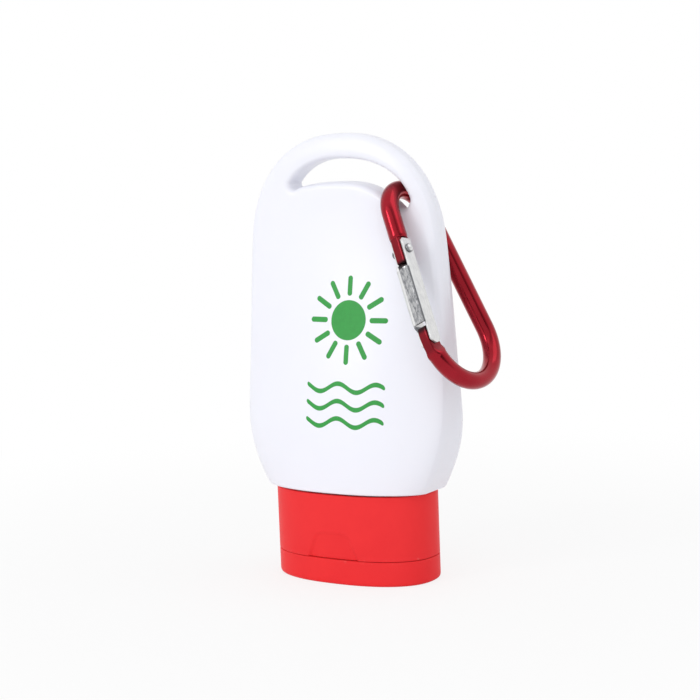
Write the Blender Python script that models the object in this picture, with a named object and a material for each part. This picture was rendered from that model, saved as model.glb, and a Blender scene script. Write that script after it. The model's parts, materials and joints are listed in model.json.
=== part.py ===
"""Small squeeze bottle with a loop handle, a flip-top cap and a snap hook.

The bottle stands on its cap. X is its width, Y its depth with the front at -Y, and Z is up.
The origin is the middle of the lid's flat face, on the ground. Lengths are in metres.
"""
import math

import bmesh
import bpy
import numpy as np
from mathutils import Euler, Matrix, Vector

MM = 0.001

# Clearances that several pieces share
fit_gap = 0.35 * MM
seam_gap = 0.3 * MM
overrun = 1.0 * MM

# Bottle, front outline: the belly is placed from the base, shoulder and handle from the top
bottle_top = 105.0 * MM
base_height = 21.7 * MM
top_arc_rise = 25.0 * MM
belly_rise = 18.3 * MM
shoulder_height = bottle_top - top_arc_rise
belly_height = base_height + belly_rise
base_half_width = 21.55 * MM
belly_half_width = 27.15 * MM
shoulder_half_width = 25.8 * MM
base_corner_power = 1.95
side_power = 2.0
top_arc_power = 2.3

# Bottle, depth
base_half_depth = 12.5 * MM
loop_half_depth = 3.4 * MM
loop_start_drop = 12.0 * MM
loop_start_height = bottle_top - loop_start_drop
depth_power = 0.85
side_band_belly = 4.7 * MM
side_band_loop = 1.9 * MM
side_band_belly_rise = 6.3 * MM
side_band_loop_drop = 20.0 * MM
side_band_belly_height = base_height + side_band_belly_rise
side_band_loop_height = bottle_top - side_band_loop_drop
side_band_power = 1.6
crown_width = 5.0 * MM
crown_power = 0.6
front_low_rise = 8.3 * MM
front_high_drop = 35.0 * MM
front_low_height = base_height + front_low_rise
front_high_height = bottle_top - front_high_drop
front_low_power = 2.33
front_high_power = 2.0
front_low_fall = 0.625
front_high_fall = 0.9
side_edge_round = 1.1 * MM
base_edge_round = 0.5 * MM
edge_round_change = 4.4 * MM

# Bottle, handle hole at its narrowest, half way through
hole_arc_drop = 21.0 * MM
hole_arc_height = bottle_top - hole_arc_drop
hole_arc_half_width = 19.95 * MM
hole_arc_rise = 15.1 * MM
hole_arc_power = 2.25
hole_join_drop = 15.2 * MM
hole_join_height = bottle_top - hole_join_drop
hole_corner_radius = 2.3 * MM
hole_floor_drop = 11.2 * MM
hole_floor_height = bottle_top - hole_floor_drop
hole_floor_power = 2.6
hole_left_width_share = 0.84
hole_left_join_drop = 11.4 * MM
hole_left_corner_radius = 1.2 * MM
hole_left_join_height = bottle_top - hole_left_join_drop
hole_flare = 1.9 * MM
hole_round_power = 2.3
hole_crisp_power = 3.2
hole_round_from = 9.0 * MM
hole_crisp_from = 3.0 * MM
hole_corner_start = math.radians(8.0)
hole_corner_end = math.radians(-135.0)

# Bottle, inside and neck
bottle_wall = 1.2 * MM
cavity_side_wall = 2.2 * MM
cavity_floor = 1.6 * MM
cavity_dome_drop = 33.0 * MM
cavity_dome_height = bottle_top - cavity_dome_drop
cavity_roof = 4.6 * MM
neck_radius = 8.4 * MM
neck_bore_radius = 6.7 * MM
neck_deck_gap = 1.4 * MM
neck_bead_radius = 9.1 * MM
neck_bead_drop = 5.2 * MM
neck_bead_height = 1.5 * MM
lug_reach = 2.6 * MM
lug_width = 2.4 * MM
lug_height = 3.4 * MM

# Cap, outer oval
cap_half_width = 20.7 * MM
cap_half_depth = 12.0 * MM
cap_oval_power = 2.33
lid_height = 5.9 * MM
lid_edge_round = 1.1 * MM
lid_wall = 1.6 * MM
lid_floor = 1.3 * MM
cap_wall = 1.5 * MM
deck_thickness = 1.5 * MM
spout_radius = 2.6 * MM
spout_length = 2.8 * MM
orifice_radius = 1.2 * MM
seal_ring_wall = 1.0 * MM
seal_ring_height = 4.0 * MM
snap_skirt_wall = 1.35 * MM
snap_skirt_drop = 2.0 * MM
groove_depth = 0.7 * MM
groove_slack = 0.7 * MM
pin_engagement = 1.8 * MM
collar_wall = 0.8 * MM
collar_overlap = 0.5 * MM
thumb_notch_half_width = 6.8 * MM
thumb_notch_top_half_width = 4.2 * MM
thumb_notch_height = 6.1 * MM
thumb_notch_depth = 0.8 * MM

cap_base_low = lid_height + seam_gap
deck_top = cap_base_low + deck_thickness

# Cap, bending straps between base and lid
strap_thickness = 0.4 * MM
strap_reach = 2.5 * MM
side_strap_width = 3.0 * MM
middle_strap_width = 3.6 * MM
strap_spacing = 4.6 * MM
strap_recess_depth = 0.8 * MM

# Snap hook: a pear-shaped ring, in its own plane (p across, w along), the top of the ring at (0, 0)
hook_top_right = 14.7 * MM
hook_top_back = 0.55 * MM
hook_top_drop = 13.4 * MM
hook_top_height = bottle_top - hook_top_drop
hook_lean = math.radians(-26.5)
hook_nod = math.radians(2.7)
hook_turn = math.radians(83.0)
rod_radius = 2.12 * MM
ring_small_radius = 7.0 * MM
ring_large_radius = 11.0 * MM
ring_centre_distance = 29.9 * MM

# Snap hook, gate and what it pivots on; places along the gate side start where the small arc ends
heel_shoulder = 6.5 * MM
gate_head_gap = 0.5 * MM
rivet_inset = 2.5 * MM
heel_reach = 3.3 * MM
web_head_gap = 0.8 * MM
nose_shoulder_past_straight = 3.77 * MM
nose_length = 5.0 * MM
gate_foot_gap = 0.8 * MM
web_foot_gap = 0.6 * MM
gate_width = 3.9 * MM
gate_sheet = 0.5 * MM
gate_outer_depth = 2.2 * MM
gate_inner_depth = 1.5 * MM
gate_fold_round = 0.35 * MM
gate_foot_round = 1.2 * MM
gate_head_round = 0.5 * MM
tongue_width = 2.2 * MM
tongue_half_depth = 1.5 * MM
rivet_radius = 0.6 * MM
rivet_head_radius = 1.05 * MM
rivet_head_height = 0.5 * MM
head_face_share = 0.6
head_rim_share = 0.4
spring_wire_radius = 0.17 * MM
spring_radius = 0.95 * MM
spring_length = 5.6 * MM
spring_curls = 7
points_per_curl = 9
spring_offset = -0.25 * MM
spring_slack = 0.7 * MM
plunger_head_radius = 1.05 * MM
plunger_head_height = 0.6 * MM
plunger_stem_radius = 0.42 * MM
plunger_stem_length = 4.0 * MM
seat_thickness = 0.9 * MM
seat_depth = 2.0 * MM
gate_start = heel_shoulder + gate_head_gap
rivet_place = gate_start + rivet_inset
web_start = rivet_place + heel_reach + web_head_gap
ring_straight_side = math.sqrt(ring_centre_distance ** 2 - (ring_large_radius - ring_small_radius) ** 2)
nose_shoulder = ring_straight_side + nose_shoulder_past_straight
nose_start = nose_shoulder - nose_length
gate_end = nose_shoulder - gate_foot_gap
web_end = nose_start - web_foot_gap

# How finely round things are faceted
oval_steps = 56
round_steps = 28
small_round_steps = 16
rod_sides = 14
base_outline_steps = 8
side_outline_steps = 17
top_outline_steps = 14
flare_steps = 3
front_steps = 9
edge_steps = 3
cavity_steps = 14
corner_steps = 5
lid_edge_steps = 4
heel_steps = 7
outline_samples = 400
merge_distance = 0.001 * MM
sharp_angle = math.radians(35.0)
fold_angle = math.radians(60.0)
ring_small_steps = 15
ring_large_steps = 25


def clear_scene():
    """Removes every object of the open scene."""
    for item in list(bpy.data.objects):
        bpy.data.objects.remove(item, do_unlink=True)


def plain_material(name, colour, roughness, metallic=0.0):
    """Makes a Principled material of one colour."""
    material = bpy.data.materials.new(name)
    material.use_nodes = True
    shader = material.node_tree.nodes["Principled BSDF"]
    shader.inputs["Base Color"].default_value = (*colour, 1.0)
    shader.inputs["Roughness"].default_value = roughness
    shader.inputs["Metallic"].default_value = metallic
    material.diffuse_color = (*colour, 1.0)
    return material


def mesh_object(name, vertices, faces, material=None, parent=None):
    """Makes an object from points and faces, merged and with its faces turned outwards."""
    mesh = bpy.data.meshes.new(name)
    mesh.from_pydata([tuple(map(float, v)) for v in vertices], [], faces)
    work = bmesh.new()
    work.from_mesh(mesh)
    bmesh.ops.remove_doubles(work, verts=work.verts, dist=merge_distance)
    bmesh.ops.recalc_face_normals(work, faces=work.faces)
    work.to_mesh(mesh)
    work.free()
    mesh.shade_smooth()
    mesh.set_sharp_from_angle(angle=sharp_angle)
    item = bpy.data.objects.new(name, mesh)
    bpy.context.scene.collection.objects.link(item)
    if material is not None:
        mesh.materials.append(material)
    if parent is not None:
        item.parent = parent
    return item


def loft(name, loops, material=None, parent=None, closed=False):
    """Skins closed loops of points one after the other; open ends get flat caps."""
    count = len(loops[0])
    vertices = np.vstack(loops)
    rows = len(loops)
    faces = []
    for row in range(rows if closed else rows - 1):
        upper = ((row + 1) % rows) * count
        for k in range(count):
            following = (k + 1) % count
            faces.append((row * count + k, row * count + following, upper + following, upper + k))
    if not closed:
        faces.append(tuple(range(count)))
        faces.append(tuple(range((rows - 1) * count, rows * count)))
    return mesh_object(name, vertices, faces, material, parent)


def oval_loop(half_width, half_depth, height, steps=oval_steps):
    """Points of the cap's oval at one height."""
    angle = np.linspace(0.0, 2.0 * math.pi, steps, endpoint=False)
    c, s = np.cos(angle), np.sin(angle)
    power = 2.0 / cap_oval_power
    x = half_width * np.sign(c) * np.abs(c) ** power
    y = half_depth * np.sign(s) * np.abs(s) ** power
    return np.column_stack([x, y, np.full(steps, height)])


def circle_loop(radius, height, steps=round_steps):
    """Points of a circle round the Z axis at one height."""
    angle = (np.arange(steps) + 0.5) * 2.0 * math.pi / steps
    return np.column_stack([radius * np.cos(angle), radius * np.sin(angle), np.full(steps, height)])


def turned(name, profile, material=None, parent=None, steps=round_steps):
    """A solid turned round Z from (radius, height) pairs, listed from one end to the other."""
    return loft(name, [circle_loop(r, z, steps) for r, z in profile], material, parent)


def tube(name, inner, outer, low, high, steps=round_steps):
    """A plain tube round Z."""
    corners = [(inner, low), (outer, low), (outer, high), (inner, high)]
    loops = [circle_loop(r, z, steps) for r, z in corners]
    return loft(name, loops, closed=True)


def prism(name, outline, low, high, parent=None, material=None):
    """A flat outline of (x, z) points carried along Y from low to high."""
    outline = np.asarray(outline)
    near = np.column_stack([outline[:, 0], np.full(len(outline), low), outline[:, 1]])
    far = np.column_stack([outline[:, 0], np.full(len(outline), high), outline[:, 1]])
    return loft(name, [near, far], material, parent)


def block(name, low, high, parent=None):
    """A box between two corners."""
    corners = [(low[0], low[2]), (high[0], low[2]), (high[0], high[2]), (low[0], high[2])]
    return prism(name, corners, low[1], high[1], parent)


def as_cutter(item):
    """Keeps a helper solid out of the finished part."""
    item.hide_render = True
    item.display_type = "WIRE"
    return item


def combine(target, helper, operation):
    """Adds a helper solid to a piece, or cuts it away."""
    as_cutter(helper)
    step = target.modifiers.new(helper.name, "BOOLEAN")
    step.operation = operation
    step.solver = "EXACT"
    step.object = helper


def cut(target, helper):
    """Cuts a helper solid out of a piece."""
    combine(target, helper, "DIFFERENCE")


def add(target, helper):
    """Joins a helper solid to a piece."""
    combine(target, helper, "UNION")


def blend(value, low, high):
    """A smooth step from 0 at low to 1 at high."""
    t = np.clip((value - low) / (high - low), 0.0, 1.0)
    return t * t * (3.0 - 2.0 * t)


def half_cosine(value, low, high):
    """Falls from 1 at low to 0 at high along half a cosine wave."""
    t = np.clip((value - low) / (high - low), 0.0, 1.0)
    return 0.5 * (1.0 + np.cos(math.pi * t))


def half_width_at(z):
    """Half the bottle's width at a height: base corner, long side, then the round top."""
    low = belly_half_width - (belly_half_width - base_half_width) * np.clip(
        (belly_height - z) / (belly_height - base_height), 0.0, 1.0) ** base_corner_power
    loss = belly_half_width - shoulder_half_width
    side_length = shoulder_height - belly_height
    side = loss * np.clip((z - belly_height) / side_length, 0.0, 1.0) ** side_power
    above = np.clip(z - shoulder_height, 0.0, bottle_top - shoulder_height)
    slope = side_power * loss / side_length
    rise = above / (bottle_top - shoulder_height)
    round_top = np.clip(1.0 - rise ** top_arc_power, 0.0, 1.0) ** (1.0 / top_arc_power)
    return (low - side - slope * above) * round_top


def side_band_at(z):
    """Half the depth of the flat band that runs round the bottle's edge."""
    fall = half_cosine(z, side_band_belly_height, side_band_loop_height) ** side_band_power
    return side_band_loop + (side_band_belly - side_band_loop) * fall


def front_depth_at(x, z, edge):
    """How far the front stands out: the band, a crown beside it, and the belly's swell."""
    band = side_band_at(z)
    middle = loop_half_depth + (base_half_depth - loop_half_depth) * half_cosine(
        z, base_height, loop_start_height) ** depth_power
    inwards = np.clip(edge / crown_width, 0.0, 1.0)
    crown = np.clip(loop_half_depth - band, 0.0, None)
    share = (1.0 - (1.0 - inwards) ** 2) ** crown_power
    mix = blend(z, front_low_height, front_high_height)
    power = front_low_power + (front_high_power - front_low_power) * mix
    fall = front_low_fall + (front_high_fall - front_low_fall) * mix
    across = np.clip(np.abs(x) / np.maximum(half_width_at(z), overrun), 0.0, 1.0)
    swell = np.clip(middle - band - crown, 0.0, None) * (1.0 - across ** power) ** fall
    return band + crown * share + swell


def spaced(points, steps):
    """Points spaced evenly along a line of close points, without its last one."""
    points = np.asarray(points)
    reach = np.concatenate([[0.0], np.cumsum(np.linalg.norm(np.diff(points, axis=0), axis=1))])
    wanted = np.linspace(0.0, reach[-1], steps, endpoint=False)
    return np.column_stack([np.interp(wanted, reach, points[:, k]) for k in (0, 1)])


def joined_halves(right_half, left_half):
    """Closes two halves that are both listed from the bottom middle to the top middle on the right."""
    left = left_half[:0:-1] * np.array([-1.0, 1.0])
    return np.vstack([right_half, left])


def outer_outline():
    """The bottle's front outline, from the base's middle up the right side and round."""
    base = spaced([(0.0, base_height), (base_half_width, base_height)], base_outline_steps)
    z = np.linspace(base_height, loop_start_height, outline_samples)
    side = spaced(np.column_stack([half_width_at(z), z]), side_outline_steps)
    turn = np.linspace(0.0, 0.5 * math.pi, outline_samples)
    z = loop_start_height + (bottle_top - loop_start_height) * np.sin(turn)
    top = spaced(np.column_stack([half_width_at(z), z]), top_outline_steps)
    right = np.vstack([base, side, top, [(0.0, bottle_top)]])
    return joined_halves(right, right)


def hole_half(half_width, join_height, corner_radius):
    """Half of the handle hole half way through: a curved floor, a round corner and a high arc."""
    rise = (join_height - hole_arc_height) / hole_arc_rise
    reach = half_width * (1.0 - rise ** hole_arc_power) ** (1.0 / hole_arc_power)
    centre_x = reach - corner_radius * math.cos(hole_corner_start)
    centre_z = join_height - corner_radius * math.sin(hole_corner_start)
    floor_end = centre_x + corner_radius * math.cos(hole_corner_end)
    floor_fall = hole_floor_height - (centre_z + corner_radius * math.sin(hole_corner_end))
    x = np.linspace(0.0, floor_end, outline_samples)
    floor = np.column_stack([x, hole_floor_height - floor_fall * (x / floor_end) ** hole_floor_power])
    turn = np.linspace(hole_corner_end, hole_corner_start, outline_samples)
    corner = np.column_stack([centre_x + corner_radius * np.cos(turn), centre_z + corner_radius * np.sin(turn)])
    z = np.linspace(join_height, hole_arc_height + hole_arc_rise, outline_samples)
    rise = (z - hole_arc_height) / hole_arc_rise
    across = np.clip(1.0 - rise ** hole_arc_power, 0.0, 1.0) ** (1.0 / hole_arc_power)
    arc = np.column_stack([half_width * across, z])
    pieces = [spaced(floor, base_outline_steps), spaced(corner, side_outline_steps),
              spaced(arc, top_outline_steps)]
    return np.vstack(pieces + [[(0.0, hole_arc_height + hole_arc_rise)]])


def hole_outline():
    """The handle hole's outline: wide and low on the hook's side, narrower on the other."""
    right = hole_half(hole_arc_half_width, hole_join_height, hole_corner_radius)
    left = hole_half(hole_left_width_share * hole_arc_half_width, hole_left_join_height,
                     hole_left_corner_radius)
    return joined_halves(right, left)


def bottle_loops():
    """Loops that run through the handle hole and round the outside, one for each outline point."""
    hole = hole_outline()
    outer = outer_outline()
    span = outer - hole
    length = np.linalg.norm(span, axis=1)
    along = span / length[:, None]
    near_base = blend(outer[:, 1], base_height, base_height + edge_round_change)
    edge_round = base_edge_round + (side_edge_round - base_edge_round) * near_base
    places = []
    depths = []

    def row(distance, depth_share, band_share):
        """One row: its distance from the hole, and how its depth is shared out."""
        spot = hole + along * distance[:, None]
        full = front_depth_at(spot[:, 0], spot[:, 1], length - distance)
        rim = front_depth_at(outer[:, 0], outer[:, 1], np.zeros(len(outer))) - edge_round
        places.append(spot)
        depths.append(band_share * rim + (1.0 - band_share) * depth_share * full)

    roundness = blend(hole[:, 0], hole_crisp_from, hole_round_from)
    power = 2.0 / (hole_crisp_power + (hole_round_power - hole_crisp_power) * roundness)
    for k in range(flare_steps + 1):
        turn = 0.5 * math.pi * k / flare_steps
        row(hole_flare * (1.0 - abs(math.cos(turn)) ** power), math.sin(turn) ** power, 0.0)
    for k in range(1, front_steps):
        share = k / front_steps
        row(hole_flare + (length - hole_flare - edge_round) * share, 1.0, 0.0)
    for k in range(edge_steps + 1):
        turn = 0.5 * math.pi * k / edge_steps
        row(length - edge_round * (1.0 - math.sin(turn)), 1.0, 1.0 - math.cos(turn))
    places.append(outer)
    depths.append(np.zeros(len(outer)))
    loops = []
    for spot, depth in zip(places, depths):
        loops.append(np.column_stack([spot[:, 0], -depth, spot[:, 1]]))
    for spot, depth in list(zip(places, depths))[-2:0:-1]:
        loops.append(np.column_stack([spot[:, 0], depth, spot[:, 1]]))
    return loops


def cavity_loops():
    """Level rings of the hollow inside, from its floor to its domed roof under the hole."""
    floor = base_height + cavity_floor
    roof = hole_floor_height - cavity_roof
    heights = floor + (roof - floor) * np.sin(np.linspace(0.0, 0.5 * math.pi, cavity_steps))
    loops = []
    for z in heights[:-1]:
        rise = max(0.0, (z - cavity_dome_height) / (roof - cavity_dome_height))
        dome = math.sqrt(1.0 - rise * rise)
        width = float(half_width_at(np.array(z)) - cavity_side_wall) * dome
        depth = float(front_depth_at(0.0, np.array(z), crown_width) - bottle_wall) * dome
        loops.append(oval_loop(width, depth, z))
    return loops


def build_bottle(material):
    """The moulded bottle: outside, neck with its snap bead and lugs, then the hollow and bore."""
    bottle = loft("bottle_body", bottle_loops(), material, closed=True)
    mouth = deck_top + neck_deck_gap
    bead = base_height - neck_bead_drop
    add(bottle, turned("neck_shape", [
        (neck_radius, mouth), (neck_radius, bead - neck_bead_height),
        (neck_bead_radius, bead - 0.5 * neck_bead_height), (neck_bead_radius, bead),
        (neck_radius, bead), (neck_radius, base_height + 0.5 * cavity_floor)]))
    for side in (-1.0, 1.0):
        inner = side * (neck_radius - 0.5 * lug_reach)
        outer = side * (neck_radius + lug_reach)
        add(bottle, block("lug_shape", (min(inner, outer), -0.5 * lug_width, base_height - lug_height),
                          (max(inner, outer), 0.5 * lug_width, base_height + 0.5 * cavity_floor)))
    cut(bottle, loft("cavity_shape", cavity_loops()))
    cut(bottle, turned("bore_shape", [(neck_bore_radius, mouth - overrun),
                                      (neck_bore_radius, base_height + cavity_floor + overrun)]))
    return bottle


def strap_place():
    """Depth of the straps' middle, which is also where the lid turns."""
    return cap_half_depth - strap_recess_depth + fit_gap + 0.5 * strap_thickness


def strap_recess(name, low, high):
    """The shallow rear recess in which the straps lie."""
    half = strap_spacing + 0.5 * side_strap_width + fit_gap
    return block(name, (-half, cap_half_depth - strap_recess_depth, low),
                 (half, cap_half_depth + overrun, high))


def build_cap_base(material):
    """The cap's base: oval skirt, deck with spout and orifice, seal ring and snap skirt."""
    low = cap_base_low
    high = base_height - seam_gap
    base = loft("cap_base", [oval_loop(cap_half_width, cap_half_depth, z) for z in (low, high)], material)
    cut(base, loft("skirt_hollow_shape", [
        oval_loop(cap_half_width - cap_wall, cap_half_depth - cap_wall, z)
        for z in (deck_top, high + overrun)]))
    skirt_inner = neck_radius + fit_gap
    skirt = tube("snap_skirt_shape", skirt_inner, skirt_inner + snap_skirt_wall,
                 deck_top - 0.5 * deck_thickness, base_height - snap_skirt_drop)
    bead = base_height - neck_bead_drop
    cut(skirt, turned("groove_shape", [
        (skirt_inner - fit_gap, bead - neck_bead_height - groove_slack),
        (skirt_inner + groove_depth, bead - 0.5 * neck_bead_height - fit_gap),
        (skirt_inner + groove_depth, bead + fit_gap), (skirt_inner - fit_gap, bead + fit_gap)]))
    cut(skirt, block("lug_notch_shape",
                     (-neck_radius - lug_reach - overrun, -0.5 * lug_width - fit_gap,
                      base_height - lug_height - fit_gap),
                     (neck_radius + lug_reach + overrun, 0.5 * lug_width + fit_gap, high)))
    add(base, skirt)
    seal_outer = neck_bore_radius - fit_gap
    add(base, tube("seal_ring_shape", seal_outer - seal_ring_wall, seal_outer,
                   deck_top - 0.5 * deck_thickness, deck_top + seal_ring_height))
    add(base, turned("spout_shape", [(spout_radius, low - spout_length),
                                     (spout_radius, low + 0.5 * deck_thickness)], steps=small_round_steps))
    cut(base, turned("orifice_shape", [(orifice_radius, low - spout_length - overrun),
                                       (orifice_radius, deck_top + overrun)], steps=small_round_steps))
    cut(base, prism("thumb_notch_shape", [
        (-thumb_notch_half_width, low - overrun), (thumb_notch_half_width, low - overrun),
        (thumb_notch_half_width, low), (thumb_notch_top_half_width, low + thumb_notch_height),
        (-thumb_notch_top_half_width, low + thumb_notch_height), (-thumb_notch_half_width, low)],
        -cap_half_depth - overrun, -cap_half_depth + thumb_notch_depth))
    cut(base, strap_recess("base_recess_shape", low - overrun, low + strap_reach))
    return base


def build_cap_lid(material, parent):
    """The flip lid: rounded oval shell, the pin that plugs the orifice and its collar."""
    lid_loops = []
    for turn in np.linspace(0.0, 0.5 * math.pi, lid_edge_steps):
        inset = lid_edge_round * (1.0 - math.sin(turn))
        lid_loops.append(oval_loop(cap_half_width - inset, cap_half_depth - inset,
                                   lid_edge_round * (1.0 - math.cos(turn))))
    lid_loops.append(oval_loop(cap_half_width, cap_half_depth, lid_height))
    lid = loft("cap_lid", lid_loops, material)
    cut(lid, loft("lid_hollow_shape", [oval_loop(cap_half_width - lid_wall, cap_half_depth - lid_wall, z)
                                       for z in (lid_floor, lid_height + overrun)]))
    spout_end = cap_base_low - spout_length
    pin = orifice_radius - fit_gap
    add(lid, turned("pin_shape", [(pin, 0.5 * lid_floor), (pin, spout_end + pin_engagement),
                                  (0.5 * pin, spout_end + pin_engagement + 0.5 * pin)],
                    steps=small_round_steps))
    collar = spout_radius + fit_gap
    add(lid, tube("collar_shape", collar, collar + collar_wall, 0.5 * lid_floor,
                  spout_end + collar_overlap))
    cut(lid, strap_recess("lid_recess_shape", lid_height - strap_reach, lid_height + overrun))
    hang_on(lid, parent)
    return lid


def hang_on(item, parent):
    """Hangs a piece that was drawn in world places on an empty, without moving it."""
    item.parent = parent
    item.matrix_parent_inverse = parent.matrix_world.inverted()


def build_straps(material):
    """Three thin straps at the rear that bend when the lid opens."""
    middle = lid_height + 0.5 * seam_gap
    for name, centre, width in (("hinge_strap_left", -strap_spacing, side_strap_width),
                                ("hinge_strap_middle", 0.0, middle_strap_width),
                                ("hinge_strap_right", strap_spacing, side_strap_width)):
        strap = block(name, (centre - 0.5 * width, strap_place() - 0.5 * strap_thickness,
                             middle - strap_reach + fit_gap + 0.5 * seam_gap),
                      (centre + 0.5 * width, strap_place() + 0.5 * strap_thickness,
                       middle + strap_reach - fit_gap - 0.5 * seam_gap))
        strap.data.materials.append(material)


def ring_slope():
    """Angle by which each straight side of the ring leans from its long axis."""
    return math.asin((ring_large_radius - ring_small_radius) / ring_centre_distance)


def ring_centres():
    """Heights of the small and the large arc's centres in the ring's plane."""
    return -ring_small_radius, -ring_small_radius - ring_centre_distance


def gate_spot(place, inwards=0.0):
    """A point beside the gate side: how far along it, and how far towards the ring's inside."""
    lean = ring_slope()
    small, _ = ring_centres()
    start = (-ring_small_radius * math.cos(lean), small + ring_small_radius * math.sin(lean))
    along = (-math.sin(lean), -math.cos(lean))
    into = (math.cos(lean), -math.sin(lean))
    return (start[0] + along[0] * place + into[0] * inwards,
            start[1] + along[1] * place + into[1] * inwards)


def ring_path():
    """Centre line of the rod, from the heel over the top, down the spine and round to the nose."""
    lean = ring_slope()
    small, large = ring_centres()
    heel = [gate_spot(heel_shoulder), gate_spot(0.5 * heel_shoulder)]
    turn = np.linspace(math.pi - lean, lean, ring_small_steps)
    top = [(ring_small_radius * math.cos(a), small + ring_small_radius * math.sin(a)) for a in turn]
    nose_turn = nose_shoulder_past_straight / ring_large_radius
    turn = np.linspace(lean, -math.pi - lean + nose_turn, ring_large_steps)
    bottom = [(ring_large_radius * math.cos(a), large + ring_large_radius * math.sin(a)) for a in turn]
    return np.array(heel + top + bottom)


def rod_loops(path, radius, sides):
    """Rings of points round a path that lies in the plane y = 0."""
    along = np.gradient(path, axis=0)
    along /= np.linalg.norm(along, axis=1)[:, None]
    out = np.column_stack([along[:, 1], -along[:, 0]])
    turn = np.linspace(0.0, 2.0 * math.pi, sides, endpoint=False)
    loops = []
    for centre, normal in zip(path, out):
        loops.append(np.column_stack([centre[0] + radius * np.cos(turn) * normal[0],
                                      radius * np.sin(turn),
                                      centre[1] + radius * np.cos(turn) * normal[1]]))
    return loops


def rounded_bar(start, end, inner, outer, start_round, end_round):
    """Outline of a bar along the gate side, with round corners at both ends."""
    corners = ((end - end_round, end_round - outer, end_round, -0.5),
               (end - end_round, inner - end_round, end_round, 0.0),
               (start + start_round, inner - start_round, start_round, 0.5),
               (start + start_round, start_round - outer, start_round, 1.0))
    points = []
    for place, inwards, radius, first in corners:
        for turn in np.linspace(first * math.pi, (first + 0.5) * math.pi, corner_steps):
            points.append(gate_spot(place + radius * math.cos(turn), inwards + radius * math.sin(turn)))
    return points


def heel_outline():
    """Outline of the flat heel that the rivet passes through, round about the rivet below it."""
    points = [gate_spot(heel_shoulder - overrun, -tongue_half_depth)]
    limit = math.asin(tongue_half_depth / heel_reach)
    for turn in np.linspace(-limit, limit, heel_steps):
        points.append(gate_spot(rivet_place + heel_reach * math.cos(turn), heel_reach * math.sin(turn)))
    points.append(gate_spot(heel_shoulder - overrun, tongue_half_depth))
    return points


def nose_outline():
    """Outline of the flat nose that the closed gate straddles."""
    return rounded_bar(nose_start, nose_shoulder + overrun, tongue_half_depth, tongue_half_depth,
                       0.5 * tongue_half_depth, 0.1 * tongue_half_depth)


def rivet_turned(name, profile, parent, material=None, steps=small_round_steps):
    """A solid turned round the rivet's line, from (radius, y) pairs in the hook's frame."""
    x, z = gate_spot(rivet_place)
    loops = []
    for radius, y in profile:
        turn = np.linspace(0.0, 2.0 * math.pi, steps, endpoint=False)
        loops.append(np.column_stack([x + radius * np.cos(turn), np.full(steps, y),
                                      z + radius * np.sin(turn)]))
    return loft(name, loops, material, parent)


def gate_turned(name, profile, parent, material=None, steps=small_round_steps):
    """A solid turned round the spring's line, from (radius, place) pairs along the gate."""
    loops = []
    turn = np.linspace(0.0, 2.0 * math.pi, steps, endpoint=False)
    for radius, place in profile:
        spots = [gate_spot(place, spring_offset + radius * math.cos(a)) for a in turn]
        loops.append(np.column_stack([[s[0] for s in spots], radius * np.sin(turn),
                                      [s[1] for s in spots]]))
    return loft(name, loops, material, parent)


def build_hook_body(material, parent):
    """The bent rod with its flat heel and nose."""
    body = loft("hook_body", rod_loops(ring_path(), rod_radius, rod_sides), material, parent)
    half = 0.5 * tongue_width
    add(body, prism("heel_shape", heel_outline(), -half, half, parent))
    add(body, prism("nose_shape", nose_outline(), -half, half, parent))
    reach = 0.5 * gate_width
    cut(body, rivet_turned("heel_hole_shape", [(rivet_radius + fit_gap, -reach),
                                               (rivet_radius + fit_gap, reach)], parent))
    return body


def build_gate(material, parent):
    """The folded sheet gate: two cheeks, a web between them, a spring seat and rivet holes."""
    half = 0.5 * gate_width
    outline = rounded_bar(gate_start, gate_end, gate_inner_depth, gate_outer_depth,
                          gate_head_round, gate_foot_round)
    gate = prism("hook_gate", outline, -half, half, parent, material)
    fold = gate.modifiers.new("fold", "BEVEL")
    fold.width = gate_fold_round
    fold.segments = 2
    fold.limit_method = "ANGLE"
    fold.angle_limit = fold_angle
    inner = half - gate_sheet
    web_inside = -gate_outer_depth + gate_sheet
    far = gate_inner_depth + overrun
    seat = plunger_end() + spring_length + spring_slack
    for name, first, last, depth in (
            ("upper_slot_shape", gate_start - overrun, seat, web_inside),
            ("seat_slot_shape", seat - overrun, seat + seat_thickness + overrun, web_inside + seat_depth),
            ("lower_slot_shape", seat + seat_thickness, gate_end + overrun, web_inside),
            ("head_window_shape", gate_start - overrun, web_start, -gate_outer_depth - overrun),
            ("foot_window_shape", web_end, gate_end + overrun, -gate_outer_depth - overrun)):
        outline = [gate_spot(first, depth), gate_spot(last, depth), gate_spot(last, far),
                   gate_spot(first, far)]
        cut(gate, prism(name, outline, -inner, inner, parent))
    reach = half + overrun
    cut(gate, rivet_turned("cheek_hole_shape", [(rivet_radius + fit_gap, -reach),
                                                (rivet_radius + fit_gap, reach)], parent))
    return gate


def build_rivet(material, parent):
    """The rivet: a shank with a low round head outside each cheek."""
    inside = 0.5 * gate_width + fit_gap
    outside = inside + rivet_head_height
    return rivet_turned("gate_rivet", [
        (head_face_share * rivet_head_radius, -outside),
        (rivet_head_radius, -inside - head_rim_share * rivet_head_height),
        (rivet_head_radius, -inside), (rivet_radius, -inside), (rivet_radius, inside),
        (rivet_head_radius, inside), (rivet_head_radius, inside + head_rim_share * rivet_head_height),
        (head_face_share * rivet_head_radius, outside)], parent, material)


def plunger_end():
    """Where the plunger's head ends and the spring begins, along the gate side."""
    return rivet_place + heel_reach + fit_gap + plunger_head_height


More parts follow.
